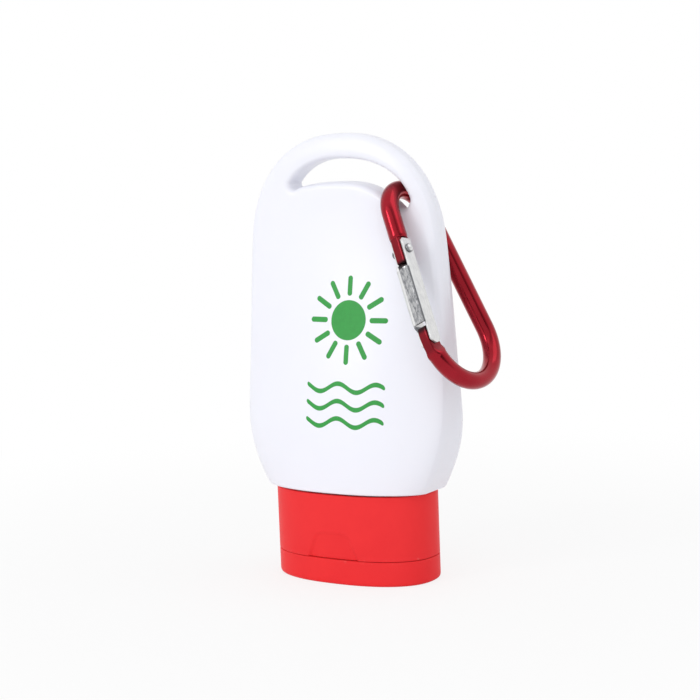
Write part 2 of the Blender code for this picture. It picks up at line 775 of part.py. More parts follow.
def build_plunger(material, parent):
    """The small pin whose round head presses on the heel and whose stem guides the spring."""
    end = plunger_end()
    return gate_turned("spring_plunger", [
        (head_face_share * plunger_head_radius, end - plunger_head_height),
        (plunger_head_radius, end - 0.5 * plunger_head_height), (plunger_head_radius, end),
        (plunger_stem_radius, end), (plunger_stem_radius, end + plunger_stem_length)], parent, material)


def spring_points():
    """Centre line of the gate spring, a plain helix along the gate."""
    count = spring_curls * points_per_curl + 1
    turn = np.linspace(0.0, 2.0 * math.pi * spring_curls, count)
    start = plunger_end() + fit_gap + spring_wire_radius
    travel = np.linspace(start, start + spring_length - 2.0 * spring_wire_radius, count)
    spots = [gate_spot(place, spring_offset + spring_radius * math.cos(a))
             for place, a in zip(travel, turn)]
    return [Vector((x, spring_radius * math.sin(a), z)) for (x, z), a in zip(spots, turn)]


def least_self_gap(points, per_turn, wire_radius):
    """The least gap between a coil's own turns, measured between its centre line's points."""
    places = np.array([tuple(p) for p in points])
    apart = np.linalg.norm(places[:, None] - places[None], axis=2)
    steps = np.abs(np.subtract.outer(np.arange(len(places)), np.arange(len(places))))
    return float(apart[steps >= per_turn - 1].min() - 2.0 * wire_radius)


def build_spring(material, parent):
    """The gate's coil spring, one unbroken wire."""
    points = spring_points()
    gap = least_self_gap(points, points_per_curl, spring_wire_radius)
    print("gate_spring: least gap to itself", round(gap / MM, 3), "mm")
    curve = bpy.data.curves.new("gate_spring", "CURVE")
    curve.dimensions = "3D"
    curve.bevel_depth = spring_wire_radius
    curve.bevel_resolution = 1
    curve.use_fill_caps = True
    line = curve.splines.new("POLY")
    line.points.add(len(points) - 1)
    for spot, point in zip(points, line.points):
        point.co = (*spot, 1.0)
    curve.materials.append(material)
    item = bpy.data.objects.new("gate_spring", curve)
    bpy.context.scene.collection.objects.link(item)
    item.parent = parent
    return item


def empty_at(name, place, turn=None, parent=None):
    """An empty that marks a joint."""
    item = bpy.data.objects.new(name, None)
    bpy.context.scene.collection.objects.link(item)
    item.parent = parent
    item.matrix_local = Matrix.Translation(place) @ (turn.to_matrix().to_4x4() if turn else Matrix())
    return item


def place_on_gate_joint(item, joint, place):
    """Moves a gate piece, drawn in the hook's frame, onto the gate's own joint."""
    item.parent = joint
    item.matrix_parent_inverse = Matrix.Translation(place).inverted()


def build_hook(materials):
    """The snap hook, hung through the handle hole on its own joint."""
    top = Vector((hook_top_right, hook_top_back, hook_top_height))
    joint = empty_at("hook_swing_joint", top, Euler((hook_lean, hook_nod, hook_turn), "XYZ"))
    x, z = gate_spot(rivet_place)
    pivot = Vector((x, 0.0, z))
    gate_joint = empty_at("gate_joint", pivot, None, joint)
    build_hook_body(materials["red_metal"], joint)
    build_rivet(materials["steel"], joint)
    gate_pieces = [build_gate(materials["steel"], joint), build_plunger(materials["steel"], joint),
                   build_spring(materials["steel"], joint)]
    for piece in gate_pieces:
        place_on_gate_joint(piece, gate_joint, pivot)
    return joint, gate_joint


def report_joints(lid_joint, joint, gate_joint):
    """Prints each joint's place and axis in the world."""
    bpy.context.view_layer.update()
    places = (("lid_hinge", lid_joint, (1.0, 0.0, 0.0)), ("hook_swing", joint, (-1.0, 0.0, 0.0)),
              ("gate_pivot", gate_joint, (0.0, -1.0, 0.0)))
    for name, item, axis in places:
        place = item.matrix_world.translation
        way = item.matrix_world.to_3x3() @ Vector(axis)
        print(name, [round(v, 6) for v in place], [round(v, 5) for v in way])


def build():
    """Builds the whole part."""
    clear_scene()
    materials = {
        "white_plastic": plain_material("white_plastic", (0.87, 0.88, 0.90), 0.28),
        "red_plastic": plain_material("red_plastic", (0.80, 0.045, 0.05), 0.34),
        "red_metal": plain_material("red_metal", (0.45, 0.012, 0.022), 0.25, 0.9),
        "steel": plain_material("steel", (0.62, 0.63, 0.64), 0.38, 1.0),
    }
    build_bottle(materials["white_plastic"])
    build_cap_base(materials["red_plastic"])
    lid_joint = empty_at("lid_joint", Vector((0.0, strap_place(), lid_height + 0.5 * seam_gap)))
    bpy.context.view_layer.update()
    build_cap_lid(materials["red_plastic"], lid_joint)
    build_straps(materials["red_plastic"])
    joint, gate_joint = build_hook(materials)
    report_joints(lid_joint, joint, gate_joint)


build()
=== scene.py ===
"""A small white squeeze bottle on a red flip-top cap, with a red snap hook through its handle.

X is the bottle's width, Y its depth with the front at -Y, and Z is up. Lengths are in metres.
"""

import json
import logging
import math
from dataclasses import dataclass, field
from enum import Enum
from typing import Any

import bpy
import numpy as np
from mathutils import Matrix, Vector


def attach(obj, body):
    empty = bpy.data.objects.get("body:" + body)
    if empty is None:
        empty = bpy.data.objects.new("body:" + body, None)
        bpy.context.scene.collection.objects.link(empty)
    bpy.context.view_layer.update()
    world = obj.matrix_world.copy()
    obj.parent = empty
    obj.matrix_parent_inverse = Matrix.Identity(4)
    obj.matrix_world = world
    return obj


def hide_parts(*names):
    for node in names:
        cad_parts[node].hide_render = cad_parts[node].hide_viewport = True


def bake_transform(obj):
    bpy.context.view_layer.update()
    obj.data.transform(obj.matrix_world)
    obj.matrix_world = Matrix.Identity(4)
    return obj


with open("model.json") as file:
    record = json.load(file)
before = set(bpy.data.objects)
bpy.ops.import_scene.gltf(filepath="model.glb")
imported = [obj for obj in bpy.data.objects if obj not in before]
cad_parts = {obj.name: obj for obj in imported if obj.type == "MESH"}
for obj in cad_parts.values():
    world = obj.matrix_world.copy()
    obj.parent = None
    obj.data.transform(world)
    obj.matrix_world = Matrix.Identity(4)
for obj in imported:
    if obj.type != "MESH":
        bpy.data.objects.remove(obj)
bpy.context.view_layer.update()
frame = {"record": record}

Array = np.ndarray
Vector3 = tuple[float, float, float]
MM = 0.001
ROUND_COLUMNS = 96
log = logging.getLogger("bottle")


class Body(Enum):
    """The rigid groups that pieces ride on."""

    BOTTLE = "bottle"
    LID = "lid"
    HOOK = "snap_hook"
    GATE = "gate"


class Slot(Enum):
    """The material slots of the record."""

    WHITE = "bottle_white"
    RED = "cap_red"
    ANODISED = "hook_red"
    STEEL = "gate_steel"


class Signal:
    """A shader socket that Python expressions can use as a number."""

    def __init__(self, tree: "NodeTree", socket: bpy.types.NodeSocket) -> None:
        """Wraps one output socket of a node tree."""
        self.tree = tree
        self.socket = socket

    def __add__(self, other: "Signal | float") -> "Signal":
        """The sum of two numbers."""
        return self.tree.math("ADD", self, other)

    def __sub__(self, other: "Signal | float") -> "Signal":
        """The difference of two numbers."""
        return self.tree.math("SUBTRACT", self, other)

    def __rsub__(self, other: float) -> "Signal":
        """A plain number minus this one."""
        return self.tree.math("SUBTRACT", other, self)

    def __mul__(self, other: "Signal | float") -> "Signal":
        """The product of two numbers."""
        return self.tree.math("MULTIPLY", self, other)

    __radd__ = __add__
    __rmul__ = __mul__

    def above(self, other: "Signal | float") -> "Signal":
        """The larger of two numbers."""
        return self.tree.math("MAXIMUM", self, other)

    def size(self) -> "Signal":
        """The number without its sign."""
        return self.tree.math("ABSOLUTE", self)

    def step(self, low: float, high: float) -> "Signal":
        """Rises smoothly from 0 at low to 1 at high, or falls where low is the larger.

        Args:
            low: Value at which the result is 0.
            high: Value at which the result is 1.

        Returns:
            The smooth step.
        """
        node = self.tree.node("ShaderNodeMapRange", {"interpolation_type": "SMOOTHSTEP"},
                              {"Value": self, "From Min": min(low, high), "From Max": max(low, high)})
        rising = Signal(self.tree, node.outputs["Result"])
        return rising if low < high else 1.0 - rising


class NodeTree:
    """The node tree of a material or a world, written as expressions."""

    def __init__(self, tree: bpy.types.NodeTree) -> None:
        """Wraps a tree."""
        self.nodes = tree.nodes
        self.links = tree.links

    def node(self, kind: str, settings: dict[str, Any] | None = None,
             inputs: dict[Any, Any] | None = None) -> bpy.types.Node:
        """Makes any node.

        Args:
            kind: The node's type.
            settings: Properties to set first.
            inputs: Values, signals or sockets by input name or number.

        Returns:
            The new node.
        """
        item = self.nodes.new(kind)
        for name, value in (settings or {}).items():
            setattr(item, name, value)
        for name, value in (inputs or {}).items():
            self.feed(item.inputs[name], value)
        return item

    def feed(self, socket: bpy.types.NodeSocket, value: Any) -> None:
        """Links a signal or socket into a socket, or sets a plain value on it."""
        if isinstance(value, Signal):
            value = value.socket
        if isinstance(value, bpy.types.NodeSocket):
            self.links.new(value, socket)
        else:
            socket.default_value = value

    def math(self, operation: str, *values: Signal | float) -> Signal:
        """Adds one Math node and gives its result."""
        item = self.node("ShaderNodeMath", {"operation": operation}, dict(enumerate(values)))
        return Signal(self, item.outputs[0])

    def length(self, first: Signal, second: Signal) -> Signal:
        """The length of a vector from its two parts."""
        return self.math("SQRT", first * first + second * second)

    def rays(self, *kinds: str) -> Signal:
        """1 for rays of any of the named kinds, such as Camera, and 0 for others."""
        path = self.node("ShaderNodeLightPath")
        first, *others = (Signal(self, path.outputs[f"Is {kind} Ray"]) for kind in kinds)
        for other in others:
            first = first.above(other)
        return first


class Shader(NodeTree):
    """A material whose node tree is written as expressions."""

    def __init__(self, name: str) -> None:
        """Makes an empty Principled material."""
        self.material = bpy.data.materials.new(name)
        self.material.use_nodes = True
        super().__init__(self.material.node_tree)
        self.surface = self.nodes["Principled BSDF"]

    def place(self) -> bpy.types.NodeSocket:
        """The point's place in the object's own coordinates."""
        return self.node("ShaderNodeTexCoord").outputs["Object"]

    def flow(self) -> bpy.types.NodeSocket:
        """The point's place along and across the piece, stored on its vertices."""
        return self.node("ShaderNodeAttribute", {"attribute_name": "flow"}).outputs["Vector"]

    def axes(self, vector: bpy.types.NodeSocket) -> tuple[Signal, Signal, Signal]:
        """Splits a vector into three numbers."""
        item = self.node("ShaderNodeSeparateXYZ", {}, {0: vector})
        return tuple(Signal(self, item.outputs[k]) for k in range(3))

    def noise(self, vector: bpy.types.NodeSocket, scale: float | Vector3, detail: float,
              roughness: float) -> Signal:
        """Fractal noise between 0 and 1.

        Args:
            vector: Where to read the noise.
            scale: Repeats for each unit of the vector, alike or for each of its axes.
            detail: Number of finer layers.
            roughness: Strength of the finer layers.

        Returns:
            The noise value.
        """
        if isinstance(scale, tuple):
            item = self.node("ShaderNodeVectorMath", {"operation": "MULTIPLY"}, {0: vector, 1: scale})
            vector, scale = item.outputs[0], 1.0
        item = self.node("ShaderNodeTexNoise", {},
                         {"Vector": vector, "Scale": scale, "Detail": detail, "Roughness": roughness})
        return Signal(self, item.outputs["Fac"])

    def mixed(self, share: Signal, first: Any, second: Any) -> bpy.types.NodeSocket:
        """Blends two colours.

        Args:
            share: How much of the second colour shows.
            first: Colour or socket at 0.
            second: Colour or socket at 1.

        Returns:
            The blended colour.
        """
        item = self.node("ShaderNodeMix", {"data_type": "RGBA"}, {0: share})
        for number, colour in ((6, first), (7, second)):
            self.feed(item.inputs[number], (*colour, 1.0) if isinstance(colour, tuple) else colour)
        return item.outputs[2]

    def constants(self, **values: Any) -> None:
        """Sets plain values on the surface shader, by socket name with underscores for spaces."""
        for name, value in values.items():
            self.surface.inputs[name.replace("_", " ")].default_value = value

    def finished(self, colour: bpy.types.NodeSocket, rough: Signal, height: Signal, relief: float,
                 **values: Any) -> bpy.types.Material:
        """Feeds the surface shader and gives the material.

        Args:
            colour: The base colour.
            rough: The roughness.
            height: How far the surface is raised, as a share of the relief.
            relief: Height in metres of a share of 1.
            **values: Plain values for other sockets.

        Returns:
            The material.
        """
        bump = self.node("ShaderNodeBump", {}, {"Height": height, "Distance": relief, "Strength": 1.0})
        for name, value in (("Base Color", colour), ("Roughness", rough), ("Normal", bump.outputs["Normal"])):
            self.feed(self.surface.inputs[name], value)
        self.constants(**values)
        return self.material


@dataclass(frozen=True)
class Print:
    """The printed sun over three waves, in one ink."""

    ink: Vector3 = (0.012, 0.285, 0.035)
    sun_x: float = 4.2 * MM
    sun_z: float = 62.0 * MM
    sun_radius: float = 4.6 * MM
    ray_start: float = 6.2 * MM
    ray_end: float = 9.6 * MM
    ray_count: int = 12
    ray_half_width: float = 0.62 * MM
    wave_left: float = -5.6 * MM
    wave_right: float = 14.0 * MM
    wave_top: float = 46.5 * MM
    wave_spacing: float = 4.0 * MM
    wave_count: int = 3
    wave_rise: float = 0.95 * MM
    wave_length: float = 9.8 * MM
    wave_half_width: float = 0.55 * MM
    softness: float = 0.06 * MM
    front_start: float = -1.0 * MM
    front_full: float = -2.0 * MM

    def mask(self, shader: Shader, x: Signal, y: Signal, z: Signal) -> Signal:
        """Where the ink lies: a disc, bars round it, and sine waves under it, on the front only.

        Args:
            shader: The material that is being written.
            x: Place across the bottle.
            y: Place through the bottle.
            z: Height.

        Returns:
            1 on the ink and 0 off it.
        """
        dx, dz = x - self.sun_x, z - self.sun_z
        reach = shader.length(dx, dz)
        ink = self._inside(reach, self.sun_radius)
        two_turns = 4.0 * math.pi
        turn = shader.math("ARCTAN2", dz, dx) + two_turns
        off_axis = shader.math("PINGPONG", turn, math.pi / self.ray_count)
        past = self._past(reach, self.ray_start, self.ray_end)
        sideways = reach * shader.math("SINE", off_axis)
        ink = ink.above(self._inside(shader.length(past, sideways), self.ray_half_width))
        swing = shader.math("SINE", x * (2.0 * math.pi / self.wave_length)) * self.wave_rise
        beyond = self._past(x, self.wave_left, self.wave_right)
        for number in range(self.wave_count):
            across = z - (self.wave_top - self.wave_spacing * number) - swing
            ink = ink.above(self._inside(shader.length(across, beyond), self.wave_half_width))
        return ink * y.step(self.front_start, self.front_full)

    @staticmethod
    def _past(value: Signal, low: float, high: float) -> Signal:
        """How far a value lies outside a span, and 0 inside it."""
        return ((value - 0.5 * (low + high)).size() - 0.5 * (high - low)).above(0.0)

    def _inside(self, distance: Signal, limit: float) -> Signal:
        """1 where a distance is under a limit, with a soft edge."""
        return distance.step(limit + self.softness, limit - self.softness)


@dataclass(frozen=True)
class WhitePlastic:
    """Glossy white moulded plastic with faint flow marks, and the print on its front."""

    name: str
    printed: Print = Print()
    colour: Vector3 = (0.865, 0.872, 0.945)
    shade: Vector3 = (0.85, 0.857, 0.93)
    thin_ink: float = 1.5
    roughness: float = 0.3
    relief: float = 0.06 * MM
    glow_depth: float = 1.2 * MM

    def material(self) -> bpy.types.Material:
        """Writes the material."""
        shader = Shader(self.name)
        place = shader.place()
        cloud = shader.noise(place, 55.0, 3.0, 0.55)
        grain = shader.noise(place, 2600.0, 2.0, 0.6)
        scuff = shader.noise(place, 420.0, 4.0, 0.6).step(0.58, 0.8)
        ink = self.printed.mask(shader, *shader.axes(place))
        thin = shader.noise(place, 700.0, 4.0, 0.7).step(0.2, 0.8)
        tint = shader.mixed(thin * 0.35, self.printed.ink, tuple(self.thin_ink * c for c in self.printed.ink))
        colour = shader.mixed(cloud.step(0.3, 0.75) * 0.6, self.colour, self.shade)
        rough = self.roughness + (cloud - 0.5) * 0.08 + scuff * 0.05 + ink * 0.14
        height = cloud * 0.3 + grain * 0.03 + ink * 0.25
        return shader.finished(
            shader.mixed(ink, colour, tint), rough, height, self.relief, IOR=1.5, Subsurface_Weight=0.08,
            Subsurface_Radius=(1.0, 0.9, 0.85), Subsurface_Scale=self.glow_depth)


@dataclass(frozen=True)
class RedPlastic:
    """Satin red moulded plastic, with faint clouding, fine grain and rubbed edges."""

    name: str
    colour: Vector3 = (0.85, 0.037, 0.040)
    deep: Vector3 = (0.80, 0.031, 0.036)
    rubbed: Vector3 = (0.86, 0.16, 0.15)
    roughness: float = 0.4
    relief: float = 0.035 * MM
    wear_height: float = 6.05 * MM
    wear_reach: float = 0.9 * MM
    wear_core: float = 0.2 * MM

    def material(self) -> bpy.types.Material:
        """Writes the material."""
        shader = Shader(self.name)
        place = shader.place()
        cloud = shader.noise(place, 70.0, 4.0, 0.6)
        grain = shader.noise(place, 3800.0, 2.0, 0.5)
        flow = shader.noise(place, (260.0, 260.0, 70.0), 3.0, 0.6)
        edge = (shader.axes(place)[2] - self.wear_height).size().step(self.wear_reach, self.wear_core)
        marked = edge * shader.noise(place, 900.0, 4.0, 0.7).step(0.52, 0.72)
        colour = shader.mixed(cloud.step(0.3, 0.72) * 0.7, self.colour, self.deep)
        colour = shader.mixed(marked * 0.35, colour, self.rubbed)
        rough = self.roughness + (cloud - 0.5) * 0.12 + (flow - 0.5) * 0.08 + marked * 0.1
        return shader.finished(colour, rough, grain * 0.12 + flow * 0.22 + cloud * 0.3, self.relief,
                               IOR=1.49, Specular_IOR_Level=0.08)


@dataclass(frozen=True)
class AnodisedMetal:
    """Red anodised rod: fine lengthwise drawing lines under a clear dyed skin, rubbed in a few spots."""

    name: str
    colour: Vector3 = (0.36, 0.010, 0.022)
    deep: Vector3 = (0.28, 0.005, 0.013)
    rubbed: Vector3 = (0.55, 0.06, 0.07)
    # Colour of the painted shade on the flats and of the painted shadow at both ends.
    painted_dark: Vector3 = (0.022, 0.003, 0.006)
    roughness: float = 0.17
    relief: float = 0.008 * MM
    flat_shade: float = 0.35
    flat_edge: float = 0.2 * MM
    nose_fade: float = 1.2 * MM
    # Reaches of the painted shadow at the heel's end and the nose's tip.
    shade_core: float = 0.2 * MM
    heel_shade_reach: float = 1.7 * MM
    nose_shade_reach: float = 2.55 * MM
    nose_shade_core: float = 1.02 * MM

    def material(self, length: float, heel: float, nose: float) -> bpy.types.Material:
        """Writes the material, with painted shade on both flats and painted shadow at their ends.

        Args:
            length: Length of the rod from heel end to nose end, along which the flow runs.
            heel: Length of the flat heel.
            nose: Length of the flat nose.

        Returns:
            The material.
        """
        shader = Shader(self.name)
        flow = shader.flow()
        drawn = shader.noise(flow, (90.0, 5200.0, 5200.0), 3.0, 0.65)
        cloud = shader.noise(flow, 160.0, 2.0, 0.5)
        scuff = shader.noise(flow, (900.0, 2600.0, 2600.0), 5.0, 0.75)
        marked = scuff.step(0.69, 0.8)
        colour = shader.mixed(cloud.step(0.3, 0.7) * 0.7, self.colour, self.deep)
        colour = shader.mixed(marked * 0.3, colour, self.rubbed)
        along = shader.axes(flow)[0]
        back = length - along
        # Painted shade: the flat heel and nose are darkened.
        flat = along.step(heel - 0.5 * self.flat_edge, heel - 1.5 * self.flat_edge)
        flat = flat.above(back.step(nose + self.nose_fade, nose))
        # Painted shadow: the heel's end and the nose's tip go nearly black.
        tip = along.step(self.heel_shade_reach, self.shade_core)
        tip = tip.above(back.step(self.nose_shade_reach, self.nose_shade_core))
        colour = shader.mixed((flat * self.flat_shade).above(tip * 0.95), colour, self.painted_dark)
        rough = self.roughness + (drawn - 0.5) * 0.1 + (cloud - 0.5) * 0.06 + marked * 0.1 + flat * 0.12
        return shader.finished(colour, rough, drawn * 0.4 + scuff * 0.2, self.relief,
                               Metallic=0.95, Coat_Weight=0.2, Coat_Roughness=0.1)


@dataclass(frozen=True)
class PressedSteel:
    """Plated steel wire or sheet with lengthwise rolling streaks and dull patches.

    Flow coordinates are along the piece, across it (out of the ring's plane) and inwards.
    """

    name: str
    colour: Vector3 = (0.78, 0.78, 0.775)
    dull: Vector3 = (0.52, 0.525, 0.54)
    # Colour of the painted shade on the gate's sheet and the rivet's head; plain wire leaves it unused.
    dark: Vector3 = (0.16, 0.165, 0.18)
    roughness: float = 0.36
    relief: float = 0.03 * MM
    streak_scale: Vector3 = (520.0, 2600.0, 2600.0)

    def marked(self, shader: Shader, flow: bpy.types.NodeSocket, colour: bpy.types.NodeSocket,
             rough: Signal) -> tuple[bpy.types.NodeSocket, Signal]:
        """Adds a piece's own marks, painted shade among them, to its colour and roughness; plain wire has
        none.
        """
        return colour, rough

    def material(self) -> bpy.types.Material:
        """Writes the material."""
        shader = Shader(self.name)
        flow = shader.flow()
        streak = shader.noise(flow, self.streak_scale, 5.0, 0.72)
        blotch = shader.noise(flow, 700.0, 4.0, 0.65)
        mark = streak.step(0.38, 0.66)
        colour = shader.mixed(mark * 0.35 + blotch.step(0.35, 0.7) * 0.2, self.colour, self.dull)
        rough = self.roughness + mark * 0.12 + (blotch - 0.5) * 0.16
        colour, rough = self.marked(shader, flow, colour, rough)
        return shader.finished(colour, rough, streak * 0.7 + blotch * 0.3, self.relief, Metallic=0.95)


@dataclass(frozen=True)
class FoldedSteel(PressedSteel):
    """The gate's sheet: a web darkened by mottled painted shade, a painted shadow line along its near fold
    and painted shadow in the window at its foot.
    """

    fold_depth: float = 2.2 * MM
    # Span along the gate of the painted shadow in the window at its foot.
    window: tuple[float, float] = (27.5 * MM, 28.6 * MM)
    web_fade: tuple[float, float] = (0.5 * MM, 0.2 * MM)
    far_fade: tuple[float, float] = (0.95 * MM, 0.6 * MM)
    line_inset: float = 0.34 * MM
    line_fade: tuple[float, float] = (0.2 * MM, 0.1 * MM)
    near_fade: tuple[float, float] = (0.0, -0.2 * MM)
    window_fade: float = 0.1 * MM
    window_side: tuple[float, float] = (0.6 * MM, 0.9 * MM)

    def marked(self, shader: Shader, flow: bpy.types.NodeSocket, colour: bpy.types.NodeSocket,
             rough: Signal) -> tuple[bpy.types.NodeSocket, Signal]:
        """Adds mottled painted shade on the web, and painted shadow in the fold and the window.

        Args:
            shader: The material that is being written.
            flow: The piece's flow coordinates.
            colour: The colour so far.
            rough: The roughness so far.

        Returns:
            Colour and roughness.
        """
        along, across, inwards = shader.axes(flow)
        depth = inwards + self.fold_depth
        # Painted shade: the web is darkened, mottled by noise like its rough face.
        web = depth.step(*self.web_fade) * across.step(*self.far_fade)
        speck = shader.noise(flow, (800.0, 1900.0, 1900.0), 4.0, 0.7)
        colour = shader.mixed(web * (speck.step(0.36, 0.64) * 0.5 + 0.42), colour, self.dark)
        # Painted shadow: a dark line along the near fold.
        line = (depth - self.line_inset).size().step(*self.line_fade) * across.step(*self.near_fade)
        # Painted shadow: the window between the web's end and the nose.
        start, end = self.window
        opening = along.step(start, start + self.window_fade) * along.step(end + 2.0 * self.window_fade, end)
        opening = opening * across.step(*self.window_side)
        colour = shader.mixed((line * 0.9).above(opening * 0.95), colour, self.dark)
        return colour, rough + web * 0.1


@dataclass(frozen=True)
class RivetSteel(PressedSteel):
    """The rivet: its head darkens towards the rim by painted shadow."""

    rim_radius: float = 1.05 * MM
    rim_shares: tuple[float, float] = (0.72, 0.9)

    def marked(self, shader: Shader, flow: bpy.types.NodeSocket, colour: bpy.types.NodeSocket,
             rough: Signal) -> tuple[bpy.types.NodeSocket, Signal]:
        """Darkens the head's rim with painted shadow.

        Args:
            shader: The material that is being written.
            flow: Places across the rivet's line, and along it.
            colour: The colour so far.
            rough: The roughness so far.

        Returns:
            Colour and roughness.
        """
        x, y, _ = shader.axes(flow)
        # Painted shadow: the head darkens towards its rim.
        rim = shader.length(x, y).step(*(share * self.rim_radius for share in self.rim_shares))
        return shader.mixed(rim * 0.85, colour, self.dark), rough


@dataclass(frozen=True)
class PaleFloor:
    """A plain pale floor that keeps the object's shadow and turns plain white further out."""

    name: str = "pale_floor"
    colour: Vector3 = (0.88, 0.88, 0.885)
    near: float = 0.05
    far: float = 0.22
    white_share: float = 0.8

    def material(self) -> bpy.types.Material:
        """Writes the material: a dull floor mixed with plain white where the camera sees it."""
        shader = Shader(self.name)
        x, y, _ = shader.axes(shader.place())
        distant = shader.length(x, y).step(self.near, self.far)
        share = shader.rays("Camera", "Glossy") * (self.white_share + distant * (1.0 - self.white_share))
        shader.constants(Base_Color=(*self.colour, 1.0), Roughness=0.8)
        white = shader.node("ShaderNodeEmission", {}, {"Color": (1.0, 1.0, 1.0, 1.0), "Strength": 1.0})
        mix = shader.node("ShaderNodeMixShader", {},
                          {0: share, 1: shader.surface.outputs[0], 2: white.outputs[0]})
        shader.links.new(mix.outputs[0], shader.nodes["Material Output"].inputs["Surface"])
        return shader.material


def ring_faces(rows: int, columns: int, close_rows: bool) -> Array:
    """Quads between the neighbouring points of a grid whose columns close on themselves.

    Args:
        rows: Number of rings.
        columns: Points in each ring.
        close_rows: Whether the last ring joins the first.

    Returns:
        One row of four point numbers for each quad.
    """
    row = np.arange(rows if close_rows else rows - 1)[:, None]
    column = np.arange(columns)[None, :]
    next_row = (row + 1) % rows
    next_column = (column + 1) % columns
    corners = (row * columns + column, row * columns + next_column,
               next_row * columns + next_column, next_row * columns + column)
    return np.stack(np.broadcast_arrays(*corners), axis=-1).reshape(-1, 4)


def signed_volume(points: Array, faces: Array) -> float:
    """Volume between some faces and the origin, negative where they point towards it."""
    first, *others = (points[faces[:, k]] for k in range(faces.shape[1]))
    return sum(float(np.sum(first * np.cross(b, c))) for b, c in zip(others, others[1:])) / 6.0


def placed(name: str, data: bpy.types.ID) -> bpy.types.Object:
    """Puts new object data into the scene."""
    item = bpy.data.objects.new(name, data)
    bpy.context.scene.collection.objects.link(item)
    return item


def store_flow(mesh: bpy.types.Mesh, flow: Array) -> None:
    """Stores places along and across a piece on its vertices, for its material."""
    attribute = mesh.attributes.new("flow", "FLOAT_VECTOR", "POINT")
    attribute.data.foreach_set("vector", flow.astype(np.float32).ravel())


def closed_surface(name: str, points: Array, flow: Array | None = None, close_rows: bool = False,
                   smooth_angle: float = 40.0) -> bpy.types.Object:
    """Makes a closed mesh from a grid of points whose columns close on themselves.

    Open ends of the grid get a middle point and a fan of triangles.

    Args:
        name: The object's name.
        points: Grid of places, rows by columns by three.
        flow: Places along and across the piece for its material, in the grid's shape.
        close_rows: Whether the last row joins the first.
        smooth_angle: Sharpest angle in degrees that is still shaded smooth.

    Returns:
        The new object, with its faces pointing out.
    """
    rows, columns = points.shape[:2]
    vertices = points.reshape(-1, 3)
    carried = None if flow is None else flow.reshape(-1, 3)
    groups = [ring_faces(rows, columns, close_rows)]
    if not close_rows:
        for row, step in ((0, -1), (rows - 1, 1)):
            ring = np.arange(columns) + row * columns
            pair = (ring, np.roll(ring, -1))[::step]
            groups.append(np.column_stack([*pair, np.full(columns, len(vertices))]))
            vertices = np.vstack([vertices, vertices[ring].mean(axis=0)])
            if carried is not None:
                carried = np.vstack([carried, carried[ring].mean(axis=0)])
    if sum(signed_volume(vertices, faces) for faces in groups) < 0.0:
        groups = [faces[:, ::-1] for faces in groups]
    mesh = bpy.data.meshes.new(name)
    mesh.from_pydata(vertices.tolist(), [], [face for faces in groups for face in faces.tolist()])
    if carried is not None:
        store_flow(mesh, carried)
    mesh.update()
    mesh.shade_smooth()
    mesh.set_sharp_from_angle(angle=math.radians(smooth_angle))
    return placed(name, mesh)


def run_length(line: Array) -> Array:
    """Length of a line from its start to each of its points."""
    return np.concatenate([[0.0], np.cumsum(np.linalg.norm(np.diff(line, axis=0), axis=1))])


def even_points(line: Array, count: int, last: bool = False) -> Array:
    """Points spaced evenly along a line of close points, by interpolation over its length.

    Args:
        line: The line's points in order.
        count: Number of points wanted.
        last: Whether the line's end is one of them.

    Returns:
        The evenly spaced points.
    """
    reach = run_length(line)
    wanted = np.linspace(0.0, reach[-1], count, endpoint=last)
    return np.column_stack([np.interp(wanted, reach, line[:, k]) for k in range(line.shape[1])])


def softened(corners: Array, radii: Array, steps: int = 5, closed: bool = False) -> Array:
    """Rounds the corners of a profile: each becomes a quadratic curve between points beside it.

    Args:
        corners: The profile's corners in order; columns may hold any sizes.
        radii: How far from each corner its curve starts.
        steps: Points on each curve.
        closed: Whether the profile returns to its start.

    Returns:
        The rounded profile.
    """
    before = np.roll(corners, 1, axis=0)
    after = np.roll(corners, -1, axis=0)
    share = np.linspace(0.0, 1.0, steps)[:, None]
    result = []
    for k, (corner, radius) in enumerate(zip(corners, radii)):
        if radius <= 0.0 or (not closed and k in (0, len(corners) - 1)):
            result.append(corner[None])
            continue
        back, ahead = before[k] - corner, after[k] - corner
        start = corner + back * min(0.5, radius / np.linalg.norm(back[[0, -1]]))
        end = corner + ahead * min(0.5, radius / np.linalg.norm(ahead[[0, -1]]))
        result.append((1 - share) ** 2 * start + 2 * share * (1 - share) * corner + share ** 2 * end)
    return np.vstack(result)


def divided(profile: Array, spacing: float, closed: bool = False) -> Array:
    """Adds points to a profile until none of its steps is longer than a spacing."""
    ends = np.roll(profile, -1, axis=0) if closed else profile[1:]
    starts = profile if closed else profile[:-1]
    result = []
    for start, end in zip(starts, ends):
        count = max(1, math.ceil(np.linalg.norm((end - start)[[0, -1]]) / spacing))
        share = np.linspace(0.0, 1.0, count, endpoint=False)[:, None]
        result.append(start + (end - start) * share)
    if not closed:
        result.append(profile[-1:])
    return np.vstack(result)


def squared_wave(wave: Array, power: Array) -> Array:
    """A cosine or sine raised to 2 / power with its sign kept, as a superellipse has it."""
    return np.sign(wave) * np.abs(wave) ** (2.0 / power)


def oval_grid(profile: Array, columns: int) -> Array:
    """Rings for a profile of (half width, half depth, power, height) rows.

    Each ring is the superellipse |x/a|^p + |y/b|^p = 1, with x = a sgn(cos t) |cos t|^(2/p) and y alike.

    Args:
        profile: One row of four sizes for each ring.
        columns: Points in each ring.

    Returns:
        Grid of places.
    """
    turn = (np.arange(columns) + 0.5) * 2.0 * math.pi / columns
    a, b, power, z = (profile[:, k, None] for k in range(4))
    x = a * squared_wave(np.cos(turn)[None], power)
    y = b * squared_wave(np.sin(turn)[None], power)
    return np.stack([x, y, np.broadcast_to(z, x.shape)], axis=-1)


